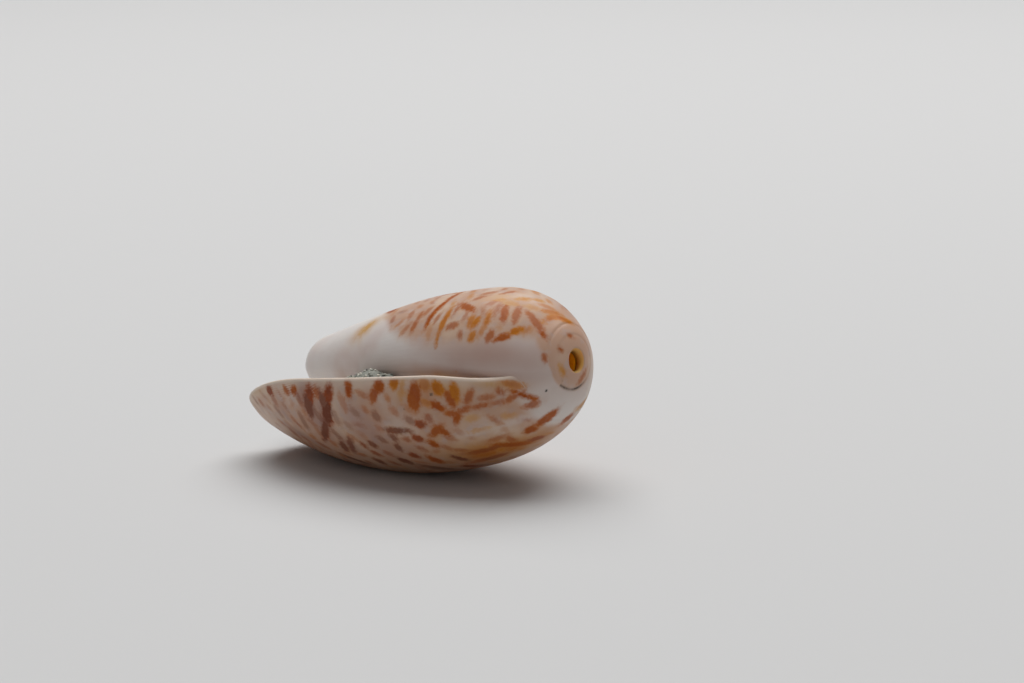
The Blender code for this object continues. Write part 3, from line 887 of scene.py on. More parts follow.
UPPER_BODY = (
    Mark((439, 333), (449.5, 312), 0.5, Tone.ORANGE, 0.9, 0.4),
    Mark((448, 327), (455, 325), 0.6, Tone.RUSSET, 0.72),
    Mark((427, 323), (434, 312), 0.5, Tone.RUSSET, 0.98),
    Mark((434, 312), (446, 302), 0.45, Tone.RUSSET, 1.0),
    Mark((446, 302), (463, 292), 0.4, Tone.RUSSET, 0.9),
    Mark((462, 305), (471, 309), 0.55, Tone.RUSSET, 0.9),
    Mark((474, 325), (478, 319), 0.45, Tone.ORANGE, 0.95),
    Mark((486, 324), (489, 315), 0.42, Tone.ORANGE, 0.9),
    Mark((503, 320), (505, 309), 0.5, Tone.RUSSET, 0.95),
    Mark((515, 320), (518, 310), 0.42, Tone.RUSSET, 0.8),
    Mark((531, 316), (540, 328), 0.55, Tone.RUSSET, 0.85),
    Mark((541, 332), (545, 336), 0.4, Tone.RUSSET, 1.0),
    Mark((512, 332), (521, 329), 0.45, Tone.ORANGE, 1.0),
    Mark((498, 339), (506, 336), 0.45, Tone.RUSSET, 0.95),
    Mark((488, 339), (491, 333), 0.55, Tone.RUSSET, 0.78),
    Mark((471, 339), (473, 334), 0.5, Tone.ORANGE, 0.85),
    Mark((460, 337), (460, 333), 0.4, Tone.RUSSET, 0.65),
    Mark((413, 328), (416, 322), 0.45, Tone.RUSSET, 0.72),
    Mark((410, 317), (412, 313), 0.4, Tone.RUSSET, 0.52),
    Mark((426, 313), (430, 309), 0.4, Tone.RUSSET, 0.59),
    Mark((398, 325), (402, 321), 0.4, Tone.ORANGE, 0.52),
    Mark((547, 320), (556, 316), 0.5, Tone.ORANGE, 1.0),
    Mark((556, 317), (568, 321), 0.55, Tone.ORANGE, 1.0),
    Mark((545, 311), (558, 314), 0.45, Tone.ORANGE, 0.9),
    Mark((470, 324), (472, 318), 0.5, Tone.ORANGE, 0.78),
    Mark((484, 294), (494, 292), 0.3, Tone.RUSSET, 0.65),
    Mark((505, 293), (511, 292), 0.3, Tone.RUSSET, 0.72),
    Mark((520, 299), (528, 299), 0.4, Tone.OCHRE, 0.91),
    Mark((536, 300), (541, 301), 0.35, Tone.OCHRE, 0.78),
    Mark((569, 335), (571, 336), 0.22, Tone.RUSSET, 0.8),
    Mark((560, 349), (561, 350), 0.22, Tone.RUSSET, 0.95),
    Mark((544, 356), (545, 359), 0.25, Tone.RUSSET, 0.8),
    Mark((562, 369), (564, 373), 0.35, Tone.OCHRE, 0.85),
    Mark((581, 379), (584, 374), 0.25, Tone.RUSSET, 0.7),
    Mark((495, 300), (502, 300), 0.3, Tone.OCHRE, 0.75),
    Mark((508, 303), (516, 304), 0.35, Tone.OCHRE, 0.65),
    Mark((530, 307), (538, 309), 0.4, Tone.OCHRE, 0.55),
    Mark((543, 305), (552, 309), 0.4, Tone.ORANGE, 0.65),
    Mark((476, 299), (482, 297), 0.3, Tone.RUSSET, 0.65),
    Mark((489, 304), (494, 302), 0.3, Tone.RUSSET, 0.55),
    Mark((496, 312), (499, 306), 0.3, Tone.RUSSET, 0.6),
    Mark((455, 312), (459, 306), 0.3, Tone.RUSSET, 0.65),
    Mark((418, 319), (421, 314), 0.3, Tone.RUSSET, 0.65),
    Mark((436, 320), (439, 316), 0.3, Tone.RUSSET, 0.65),
    Mark((404, 331), (408, 326), 0.3, Tone.RUSSET, 0.5),
    Mark((526, 331), (530, 328), 0.35, Tone.ORANGE, 0.6),
    Mark((464, 318), (467, 313), 0.3, Tone.RUSSET, 0.5),
    Mark((481, 333), (484, 327), 0.35, Tone.ORANGE, 0.6),
)

SPECKS = (
    Mark((431, 394), (431.4, 395), 0.28),
    Mark((546, 390.5), (546.4, 391), 0.22),
    Mark((404, 408.5), (404.4, 409), 0.15),
)

OCHRE_CLOUDS = (
    Cloud((468, 453), (522, 443), 3.0, 1.0),
    Cloud((480, 458), (505, 453), 1.6, 0.8),
    Cloud((496, 441), (520, 443), 1.0, 0.6),
    Cloud((478, 384), (516, 385), 0.8, 0.7),
    Cloud((424, 386), (458, 388), 1.1, 0.55),
    Cloud((405, 392), (418, 402), 1.0, 0.45),
    Cloud((550, 315), (565, 319), 1.0, 0.7),
    Cloud((485, 299), (515, 297), 1.3, 0.42),
    Cloud((361, 332), (373, 323), 1.9, 1.0),
    Cloud((360, 338), (362, 330), 1.1, 0.6),
    Cloud((380, 318), (388, 318), 0.8, 0.4),
    Cloud((440, 432), (436, 440), 0.9, 0.3),
    Cloud((252, 392), (262, 388), 0.9, 0.45),
)

WHITE_CLOUDS = (
    Cloud((462, 436), (500, 425), 0.7, 0.5),
    Cloud((500, 425), (540, 412), 0.8, 0.6),
    Cloud((342, 404), (362, 426), 2.4, 0.3),
    Cloud((378, 396), (400, 418), 1.8, 0.2),
    Cloud((318, 396), (322, 407), 0.35, 0.6),
    Cloud((543, 398), (578, 398), 2.4, 0.6),
    Cloud((462, 318), (470, 314), 1.0, 0.3),
)

# Painted shade, warm with bounce light, on the callus in the crevice where it meets the lip.
CREVICE_SHADE_CLOUDS = (
    Cloud((405, 374), (540, 375), 3.0, 1.0),
    Cloud((440, 352), (545, 364), 5.0, 0.75),
)

RUST_CLOUDS = (
    Cloud((474, 456), (498, 450), 3.0, 1.0),
    Cloud((496, 451), (522, 444), 2.4, 0.95),
    Cloud((520, 443), (545, 433), 1.4, 0.45),
    Cloud((426, 388), (428, 398), 1.2, 0.4),
)

HAZE_CLOUDS = (
    Cloud((462, 326), (540, 322), 3.6, 0.5),
    Cloud((405, 320), (455, 318), 3.0, 0.25),
    Cloud((380, 460), (470, 466), 2.2, 0.8),
    Cloud((420, 393), (465, 394), 1.8, 0.45),
    Cloud((385, 406), (530, 404), 3.6, 0.6),
    Cloud((470, 388), (520, 389), 1.4, 0.4),
    Cloud((466, 398), (530, 402), 2.2, 0.4),
    Cloud((545, 316), (570, 324), 2.2, 0.45),
    Cloud((310, 444), (360, 462), 1.6, 0.6),
)

GRIME = (
    Cloud((560, 385), (569, 389), 0.8, 0.8),
    Cloud((572, 389), (582, 384), 0.8, 1.0),
)

PLUM_CLOUDS = (
    Cloud((303, 390), (313, 412), 2.2, 0.85),
    Cloud((321, 396), (328, 436), 1.7, 0.8),
    Cloud((343, 440), (356, 450), 1.7, 0.6),
    Cloud((276, 398), (290, 420), 1.4, 0.3),
    Cloud((272, 414), (324, 446), 1.6, 0.5),
    Cloud((295, 428), (299, 434), 0.9, 0.5),
    Cloud((375, 410), (400, 425), 1.6, 0.22),
    Cloud((395, 440), (440, 465), 2.0, 0.2),
    Cloud((345, 402), (385, 445), 3.6, 0.5),
    Cloud((300, 385), (330, 440), 2.6, 0.4),
)


@dataclass(frozen=True)
class Viewpoint:
    """Where the photograph was taken from, fitted to the shell's outline."""

    azimuth: float = 38.477
    elevation: float = 11.626
    lens: float = 102.1
    sensor: float = 36.0
    away: float = 294.5
    slide_right: float = -8.002
    slide_up: float = -2.734
    picture: tuple[int, int] = (1024, 683)

    def axes(self) -> tuple[np.ndarray, np.ndarray, np.ndarray]:
        """Directions to the right of the picture, up it and back out of it."""
        turn, rise = math.radians(self.azimuth), math.radians(self.elevation)
        right = np.array([math.cos(turn), math.sin(turn), 0.0])
        back = np.array([math.sin(turn) * math.cos(rise), -math.cos(turn) * math.cos(rise),
                         math.sin(rise)])
        return right, np.cross(back, right), back

    def eye(self, centre: np.ndarray) -> np.ndarray:
        """The camera's place in metres, given the middle of the shell's axis."""
        right, up, back = self.axes()
        return centre + MM * (back * self.away - right * self.slide_right - up * self.slide_up)

    def ray(self, pixel: tuple[float, float]) -> np.ndarray:
        """The direction that a pixel of the photograph looks in."""
        right, up, back = self.axes()
        wide, high = self.picture
        reach = self.lens / self.sensor * wide
        across, rise = pixel[0] - 0.5 * wide, 0.5 * high - pixel[1]
        return unit(right * across + up * rise - back * reach)

    def camera(self, centre: np.ndarray) -> bpy.types.Object:
        """Makes the camera and gives it to the scene."""
        lens = bpy.data.cameras.new("viewpoint")
        lens.lens = self.lens
        lens.sensor_width = self.sensor
        lens.clip_start, lens.clip_end = 0.01, 20.0
        seen = bpy.data.objects.new("viewpoint", lens)
        right, up, back = (Vector(axis) for axis in self.axes())
        turned = Matrix((right, up, back)).transposed().to_4x4()
        seen.matrix_world = Matrix.Translation(self.eye(centre)) @ turned
        bpy.context.scene.collection.objects.link(seen)
        bpy.context.scene.camera = seen
        return seen


@dataclass
class Flecks:
    """Seeded flecks for the sides that the photograph doesn't show, and between its marks."""

    seed: int = 7
    tries: int = 5200
    room: float = 1.25
    length: tuple[float, float] = (0.5, 1.6)
    width: tuple[float, float] = (0.38, 0.8)
    seen_size: float = 0.5
    first_station: float = 3.2
    lip_room: float = 1.0

    def grow(self, data: bpy.types.Mesh, view: Viewpoint, centre: np.ndarray,
             taken: list[tuple]) -> list[tuple]:
        """Scatters flecks over the outside, away from the callus and from other marks.

        Args:
            data: the finished shell.
            view: where the photograph was taken from.
            centre: the middle of the shell's axis, in metres.
            taken: the listed marks.

        Returns:
            The flecks, each as Markings.paint takes it.
        """
        chance = np.random.default_rng(self.seed)
        points, facing = places(data), normals(data)
        station, growth = read(data, "station"), read(data, "growth")
        free = ((read(data, "outside") > 0.5) & (read(data, "callus") < 0.15)
                & (station > self.first_station) & (read(data, "pale") < 0.2))
        areas = np.zeros(len(points))
        for face in data.polygons:
            areas[list(face.vertices)] += face.area / len(face.vertices)
        weight = areas * free
        picked = chance.choice(len(points), self.tries, p=weight / weight.sum())
        sight = unit(view.eye(centre) - centre)
        put = [0.5 * (mark[0] + mark[1]) for mark in taken]
        flecks = []
        for index in picked:
            place, out = points[index], facing[index]
            seen = float(out @ sight) > 0.12
            scale = self.seen_size if seen else 1.0
            room = self.room * MM * (1.0 if seen else chance.uniform(0.8, 1.5))
            if min(np.linalg.norm(np.array(put) - place, axis=1)) < room:
                continue
            put.append(place)
            length = scale * chance.uniform(*self.length)
            width = min(scale * chance.uniform(*self.width), 0.8 * length + 0.2)
            along = unit(np.cross(out, [1.0, 0.0, 0.0]))
            lean = chance.normal(0.75, 0.35)
            along = unit(along * math.cos(lean) + np.cross(out, along) * math.sin(lean))
            half = 0.5 * length * MM * along
            tone = float(np.clip(chance.normal(0.55, 0.16) + 0.012 * (station[index] - 20.0),
                                 0.1, 1.0))
            force = chance.uniform(0.25, 0.65) if seen else chance.uniform(0.55, 1.0)
            flecks.append((place - half, place + half, out, width, tone, force, 0.0))
        log.info("%d hand-placed marks, %d seeded flecks", len(taken), len(flecks))
        return flecks


class Markings:
    """Works out, for each vertex, how far it is from the nearest brown mark."""

    FAR = 0.6

    def __init__(self, data: bpy.types.Mesh, view: Viewpoint, centre: np.ndarray) -> None:
        """Reads the shell's surface.

        Args:
            data: the finished shell.
            view: where the photograph was taken from.
            centre: the middle of the shell's axis, in metres.
        """
        self.data = data
        self.points = places(data)
        self.facing = normals(data)
        self.outside = read(data, "outside") > 0.5
        self.view = view
        self.eye = view.eye(centre)
        self.tree = BVHTree.FromPolygons([tuple(point) for point in self.points],
                                         [tuple(face.vertices) for face in data.polygons])

    def hit(self, pixel: tuple[float, float]) -> tuple[np.ndarray, np.ndarray] | None:
        """Where a pixel's ray meets the shell, and the way the surface faces there."""
        place, facing, _, _ = self.tree.ray_cast(Vector(self.eye), Vector(self.view.ray(pixel)))
        if place is None:
            log.warning("the mark at %s misses the shell", pixel)
            return None
        return np.array(place), np.array(facing)

    def spread(self, start: np.ndarray, end: np.ndarray, facing: np.ndarray, width: float,
               taper: float = 0.0) -> tuple[np.ndarray, np.ndarray]:
        """Signed distance in millimetres from an oval mark's edge, below 0 inside it.

        Args:
            start: the middle of one round end.
            end: the middle of the other.
            facing: the way the surface faces there.
            width: how wide the mark is in the middle, in millimetres.
            taper: how much narrower it grows towards the start.

        Returns:
            The numbers of the vertices near it and their distances.
        """
        middle = 0.5 * (start + end)
        run = np.linalg.norm(end - start) / MM
        along = unit(end - start)
        across = unit(np.cross(facing, along))
        half, wide = 0.5 * run + 0.25 * width, 0.5 * width
        gap = (self.points - middle) / MM
        near = np.flatnonzero((np.abs(gap) < half + self.FAR + 0.5).all(axis=1) & self.outside
                              & (self.facing @ facing > 0.2))
        p, q = gap[near] @ along, gap[near] @ across
        narrow = wide * (1.0 + taper * np.clip(p / half, -1.0, 1.0))
        level = np.hypot(p / half, q / narrow)
        return near, (level - 1.0) * np.minimum(half, narrow)

    def paint(self, marks: list[tuple], name: str) -> None:
        """Stores the nearest mark's distance, tone and strength on the vertices.

        Args:
            marks: for each mark its start, end, facing, width, tone, strength and taper.
            name: the first word of the attributes' names.
        """
        edge = np.full(len(self.points), self.FAR)
        tone = np.full(len(self.points), 0.5)
        strength = np.zeros(len(self.points))
        for start, end, facing, width, shade, force, taper in marks:
            near, far = self.spread(start, end, facing, width, taper)
            closer = far < edge[near]
            chosen = near[closer]
            edge[chosen] = far[closer]
            tone[chosen] = shade
            strength[chosen] = force
        write(self.data, name, edge)
        write(self.data, name + "_tone", tone)
        write(self.data, name + "_strength", strength)

    def placed(self, marks: tuple[Mark, ...]) -> list[tuple]:
        """Puts marks given over the photograph on the shell's surface."""
        found = []
        for mark in marks:
            ends = self.hit(mark.start), self.hit(mark.end)
            if None in ends:
                continue
            (start, first), (end, last) = ends
            if np.linalg.norm(end - start) < 1e-7:
                end = start + 0.05 * MM * unit(np.cross(first, [0.0, 0.0, 1.0]))
            found.append((start, end, unit(first + last), mark.width,
                          getattr(mark, "tone", 0.5), mark.strength, getattr(mark, "taper", 0.0)))
        return found

    def cloud(self, clouds: tuple[Cloud, ...], name: str) -> None:
        """Stores how strongly soft patches show on each vertex."""
        amount = np.zeros(len(self.points))
        for patch in clouds:
            ends = self.hit(patch.start), self.hit(patch.end)
            if None in ends:
                continue
            (start, first), (end, last) = ends
            facing = unit(first + last)
            middle, along = 0.5 * (start + end), unit(end - start)
            across = unit(np.cross(facing, along))
            half = 0.5 * np.linalg.norm(end - start) / MM + 0.5 * patch.width
            gap = (self.points - middle) / MM
            level = (gap @ along / half)**2 + (gap @ across / (0.5 * patch.width))**2
            level += np.clip(-self.facing @ facing, 0.0, 1.0) * 9.0
            amount = np.maximum(amount, patch.strength * np.exp(-0.9 * level))
        write(self.data, name, amount)


class OliveShell:
    """The shell, made by coiling the unrolled sheet and welding it shut."""

    TILT = 8.25
    SOFTENING = 40
    SEALED_TO = 2.5
    SUTURE = ((-473.0, 2.6), (-431.0, 2.8), (-401.0, 3.0), (-362.0, 3.28), (-335.0, 3.56),
              (-220.0, 4.2), (-44.0, 5.43), (0.0, 5.8))

    def __init__(self) -> None:
        """Sets the sizes that the shell grows by."""
        self.form = ShellForm()
        self.sheet = Sheet(self.form)

    def coiled(self, material: bpy.types.Material) -> bpy.types.Mesh:
        """Runs the rule over the sheet in a node tree."""
        graph = Graph("coil_the_wall", self.form.labels())
        coil = Coil(self.form, graph)
        outside, inside, gap = coil.wall()
        join, end, end_gap = coil.join()
        body = coil.core(coil.form.body_growth(coil.way, coil.share))
        core = coil.core(coil.form.wall_growth(coil.way, coil.curl, coil.share) - 360.0)
        hollow = coil.hollow(graph)
        base, column = graph.attribute("base"), graph.attribute("column")
        bearing = coil.form.bearing(column)
        narrowing = graph.attribute("narrowing")
        throat = (base, narrowing * np.cos(bearing), narrowing * np.sin(bearing), column)
        options = {Stretch.WALL_OUTSIDE: outside, Stretch.WALL_INSIDE: inside,
                   Stretch.JOIN: join, Stretch.CAVITY_END: end, Stretch.BODY: body,
                   Stretch.CORE: core, Stretch.HOLLOW: hollow, Stretch.THROAT: throat}
        stretch = graph.attribute("stretch")
        chosen = {kind: np.less(np.absolute(stretch - float(kind)), 0.5) * 1.0
                  for kind in options}
        station, y, z, growth = (
            sum((chosen[kind] * place[i] for kind, place in options.items()), 0.0)
            for i in range(4))
        z = z + coil.form.offset(station)
        spot = graph.vector(MM * (0.5 * coil.form.length - station), MM * y, MM * z)
        moved = graph.node("GeometryNodeSetPosition")
        graph.link(graph.entry.outputs["Geometry"], moved.inputs["Geometry"])
        graph.link(spot, moved.inputs["Position"])
        kept = graph.store(moved.outputs[0], "station", station)
        kept = graph.store(kept, "growth", growth)
        ends = chosen[Stretch.CAVITY_END]
        kept = graph.store(kept, "gap", blend(ends, gap, end_gap))
        graph.close(kept, material)
        return graph.apply(self.sheet.mesh(), "coiled_shell")

    def welded(self, coiled: bpy.types.Mesh) -> bpy.types.Mesh:
        """Closes the shell where the wall lies on the older whorl with no space between.

        Args:
            coiled: the mesh that the tree put out.

        Returns:
            One closed mesh with its faces outwards and its numbers kept.
        """
        target = np.arange(len(coiled.vertices))
        gap = read(coiled, "gap")
        for point, core in self.sheet.pairs:
            if gap[point] == 0.0:
                target[point] = core
        faces, seen = [], {}
        for face in self.sheet.faces:
            corners = []
            for point in target[list(face)].tolist():
                if point not in corners:
                    corners.append(point)
            if len(corners) < 3:
                continue
            seen.setdefault(tuple(sorted(corners)), []).append(len(faces))
            faces.append(corners)
        faces = [faces[where[0]] for where in seen.values() if len(where) % 2 == 1]
        used = np.unique(np.concatenate([np.array(face) for face in faces]))
        fresh = np.full(len(target), -1)
        fresh[used] = np.arange(len(used))
        data = bpy.data.meshes.new("shell_skin")
        data.from_pydata(places(coiled)[used].tolist(), [],
                         [[int(fresh[point]) for point in face] for face in faces])
        for name in ("station", "growth", "stretch", "gap"):
            write(data, name, read(coiled, name)[used])
        mesh = bmesh.new()
        mesh.from_mesh(data)
        bmesh.ops.recalc_face_normals(mesh, faces=mesh.faces)
        mesh.to_mesh(data)
        mesh.free()
        return data

    def settled(self, data: bpy.types.Mesh) -> np.ndarray:
        """Tilts the shell and sets it down where the CAD shell lies.

        Args:
            data: the shell about the middle of its axis, which is changed.

        Returns:
            The middle of the axis in the part's frame.
        """
        data.transform(Matrix.Rotation(math.radians(-self.TILT), 4, "Y"))
        spots = places(data)
        low, high = spots.min(axis=0), spots.max(axis=0)
        floor, top = (np.array(corner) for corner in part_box("shell"))
        shift = 0.5 * (floor + top) - 0.5 * (low + high)
        shift[2] = top[2] - high[2]
        data.transform(Matrix.Translation(shift))
        spots = places(data)
        spots[:, 2] = np.maximum(spots[:, 2], 0.0)
        data.vertices.foreach_set("co", spots.astype(np.float32).ravel())
        data.update()
        return shift

    def suture_radius(self, growth: np.ndarray) -> np.ndarray:
        """How far from the axis the newest turn of the suture runs."""
        growths, radii = zip(*self.SUTURE)
        return np.interp(growth, growths, radii)

    def softened(self, data: bpy.types.Mesh) -> None:
        """Melts the step where the newest whorl meets the older one on the spire."""
        station, growth = read(data, "station"), read(data, "growth")
        outer = np.isin(np.rint(read(data, "stretch")),
                        [Stretch.WALL_OUTSIDE, Stretch.JOIN, Stretch.BODY])
        start = -self.form.lip_setback - self.form.lip_hook
        turned = np.minimum(np.abs(growth - start), np.abs(growth - start + 360.0))
        weight = (outer * (1.0 - smooth(1.4, 1.9, station)) * smooth(0.2, 0.4, station)
                  * (1.0 - smooth(12.0, 26.0, turned)))[:, None]
        edges = np.empty(2 * len(data.edges), dtype=np.int64)
        data.edges.foreach_get("vertices", edges)
        first, last = edges.reshape(-1, 2).T
        count = np.bincount(np.concatenate([first, last]), minlength=len(station))[:, None]
        spots = places(data)
        for _ in range(self.SOFTENING):
            total = np.zeros_like(spots)
            np.add.at(total, first, spots[last])
            np.add.at(total, last, spots[first])
            spots += 0.6 * weight * (total / count - spots)
        data.vertices.foreach_set("co", spots.astype(np.float32).ravel())
        data.update()

    def relieved(self, data: bpy.types.Mesh) -> None:
        """Cuts the suture into the spire, raises the callus and adds growth lines."""
        station, growth, stretch = (read(data, name) for name in ("station", "growth", "stretch"))
        kind = np.rint(stretch)
        sealed = (kind == Stretch.CORE) & (station < self.SEALED_TO)
        outer = sealed | np.isin(kind, [Stretch.WALL_OUTSIDE, Stretch.JOIN, Stretch.BODY])
        radius = self.form.lip_radius(station)
        newest = self.suture_radius(growth)
        older = self.suture_radius(growth - 360.0)
        near = outer * (1.0 - smooth(3.2, 3.6, station))
        ledge = np.zeros(len(station))
        groove = np.zeros(len(station))
        for line, depth in ((newest, 0.035), (older, 0.02)):
            past = radius - line
            groove = np.maximum(groove, np.exp(-(past / 0.13)**2) * depth)
            ledge += 0.03 * (smooth(-0.1, 0.25, past) - smooth(0.25, 1.6, past))
        write(data, "suture", np.exp(-((radius - older) / 0.11)**2) * near)
        white = self.callus(station, growth) * outer
        inner = np.isin(kind, [Stretch.WALL_INSIDE, Stretch.CAVITY_END, Stretch.CORE]) & ~sealed
        plait = np.zeros(len(station))
        core = (kind == Stretch.CORE) & ~sealed
        oblique = growth / 57.3 + 0.55 * (station - 30.0)
        plait[core] = (0.10 * np.sin(2.1 * oblique[core] * 2.0)**3
                       * smooth(22.0, 27.0, station[core]) * (1.0 - smooth(33.0, 35.0, station[core]))
                       * smooth(-395.0, -420.0, growth[core]))
        lines = 0.006 * np.sin(growth * 1.9 + 2.0 * np.sin(0.31 * station)) * np.sin(
            growth * 0.37 + 1.0) * outer * smooth(4.0, 9.0, station)
        raise_by = (ledge - groove) * near + 0.05 * white * smooth(3.0, 5.0, station)
        raise_by += plait + lines
        write(data, "callus", np.maximum(white, inner))
        lip = (kind == Stretch.WALL_OUTSIDE) * (growth > -200.0) * smooth(2.4, 4.2, station)
        from_lip = self.form.edge_distance(station, growth)
        write(data, "rim", lip * (1.0 - smooth(0.12, 0.45, from_lip)))
        write(data, "pale", lip * (1.0 - smooth(0.35, 1.6, from_lip)))
        write(data, "outside", outer.astype(float))
        write(data, "hole", (kind == Stretch.HOLLOW) + 0.5 * (kind == Stretch.THROAT))
        spots = places(data)
        spots += normals(data) * (raise_by * MM)[:, None]
        spots[:, 2] = np.maximum(spots[:, 2], 0.0)
        data.vertices.foreach_set("co", spots.astype(np.float32).ravel())
        data.update()

    CALLUS_EDGE = (
        (0.85, -353.5), (2.0, -325.0), (4.2, -331.0), (7.6, -338.5), (13.3, -338.0),
        (17.2, -331.0), (20.0, -320.0), (22.5, -295.0), (27.0, -250.0), (32.0, -200.0),
        (36.0, -150.0))

    def callus(self, station: np.ndarray, growth: np.ndarray) -> np.ndarray:
        """How much the white callus covers the outside, from 0 to 1."""
        stations, growths = (np.array(column) for column in zip(*self.CALLUS_EDGE))
        past = np.interp(station, stations, growths) - growth
        radius, newest = self.form.lip_radius(station), self.suture_radius(growth)
        older = self.suture_radius(growth - 360.0)
        glaze = smooth(-16.0, 12.0, past) * smooth(-0.15, 0.4, radius - newest)
        band = (smooth(-260.0, -60.0, growth) * smooth(-0.1, 0.35, radius - older)
                * (1.0 - smooth(0.0, 1.3, radius - newest)))
        return np.maximum(glaze, 0.85 * band)


class Paint(Tree):
    """A material's node tree under construction."""

    def __init__(self, name: str) -> None:
        """Starts a material with one Principled shader."""
        self.material = bpy.data.materials.new(name)
        self.material.use_nodes = True
        super().__init__(self.material.node_tree)
        self.shader = self.tree.nodes["Principled BSDF"]
        self.place = self.node("ShaderNodeTexCoord").outputs["Object"]

    def attribute(self, name: str) -> Field:
        """A number stored on the mesh."""
        return self.remembered(("attribute", name), lambda: Field(
            self, self.node("ShaderNodeAttribute", attribute_name=name).outputs["Fac"]))

    def height(self) -> Field:
        """How high a point of the object is above the ground, in metres."""
        return self.remembered(("height",), self._height)

    def _height(self) -> Field:
        made = self.node("ShaderNodeSeparateXYZ")
        self.link(self.place, made.inputs[0])
        return Field(self, made.outputs["Z"])

    def noise(self, per_mm: float, detail: float = 2.0, roughness: float = 0.5,
              where: bpy.types.NodeSocket | None = None) -> Field:
        """Smooth noise from 0 to 1.

        Args:
            per_mm: how many bumps there are to a millimetre.
            detail: how many finer layers are added.
            roughness: how strong those are.
            where: the coordinates, in metres, which are the object's if none are given.

        Returns:
            The noise.
        """
        made = self.node("ShaderNodeTexNoise")
        self.link(where or self.place, made.inputs["Vector"])
        made.inputs["Scale"].default_value = per_mm / MM
        made.inputs["Detail"].default_value = detail
        made.inputs["Roughness"].default_value = roughness
        return Field(self, made.outputs[0])

    def mix(self, share: Number, start: object, end: object) -> bpy.types.NodeSocket:
        """Goes from one colour to another."""
        made = self.node("ShaderNodeMix", data_type="RGBA")
        self.link(share, made.inputs[0])
        for value, socket in ((start, made.inputs[6]), (end, made.inputs[7])):
            self.link(value if isinstance(value, bpy.types.NodeSocket) else (*value, 1.0), socket)
        return made.outputs[2]

    def ramp(self, value: Field, stops: tuple) -> bpy.types.NodeSocket:
        """A colour from a row of (place, colour) stops."""
        made = self.node("ShaderNodeValToRGB")
        row = made.color_ramp.elements
        while len(row) < len(stops):
            row.new(0.5)
        for element, (place, colour) in zip(row, stops):
            element.position = place
            element.color = (*colour, 1.0)
        self.link(value, made.inputs[0])
        return made.outputs[0]

    def bump(self, height: Field, depth: float) -> None:
        """Raises the surface in the shading alone, by a depth in millimetres."""
        made = self.node("ShaderNodeBump")
        made.inputs["Distance"].default_value = depth * MM
        self.link(height, made.inputs["Height"])
        self.link(made.outputs[0], self.shader.inputs["Normal"])

    def set(self, **values: object) -> None:
        """Sets the shader's own sockets, given by name with underscores for spaces."""
        for name, value in values.items():
            socket = next(s for s in self.shader.inputs
                          if s.name.lower().replace(" ", "_") == name)
            if isinstance(value, tuple) and len(value) == 3 and socket.type == "RGBA":
                value = (*value, 1.0)
            self.link(value, socket)


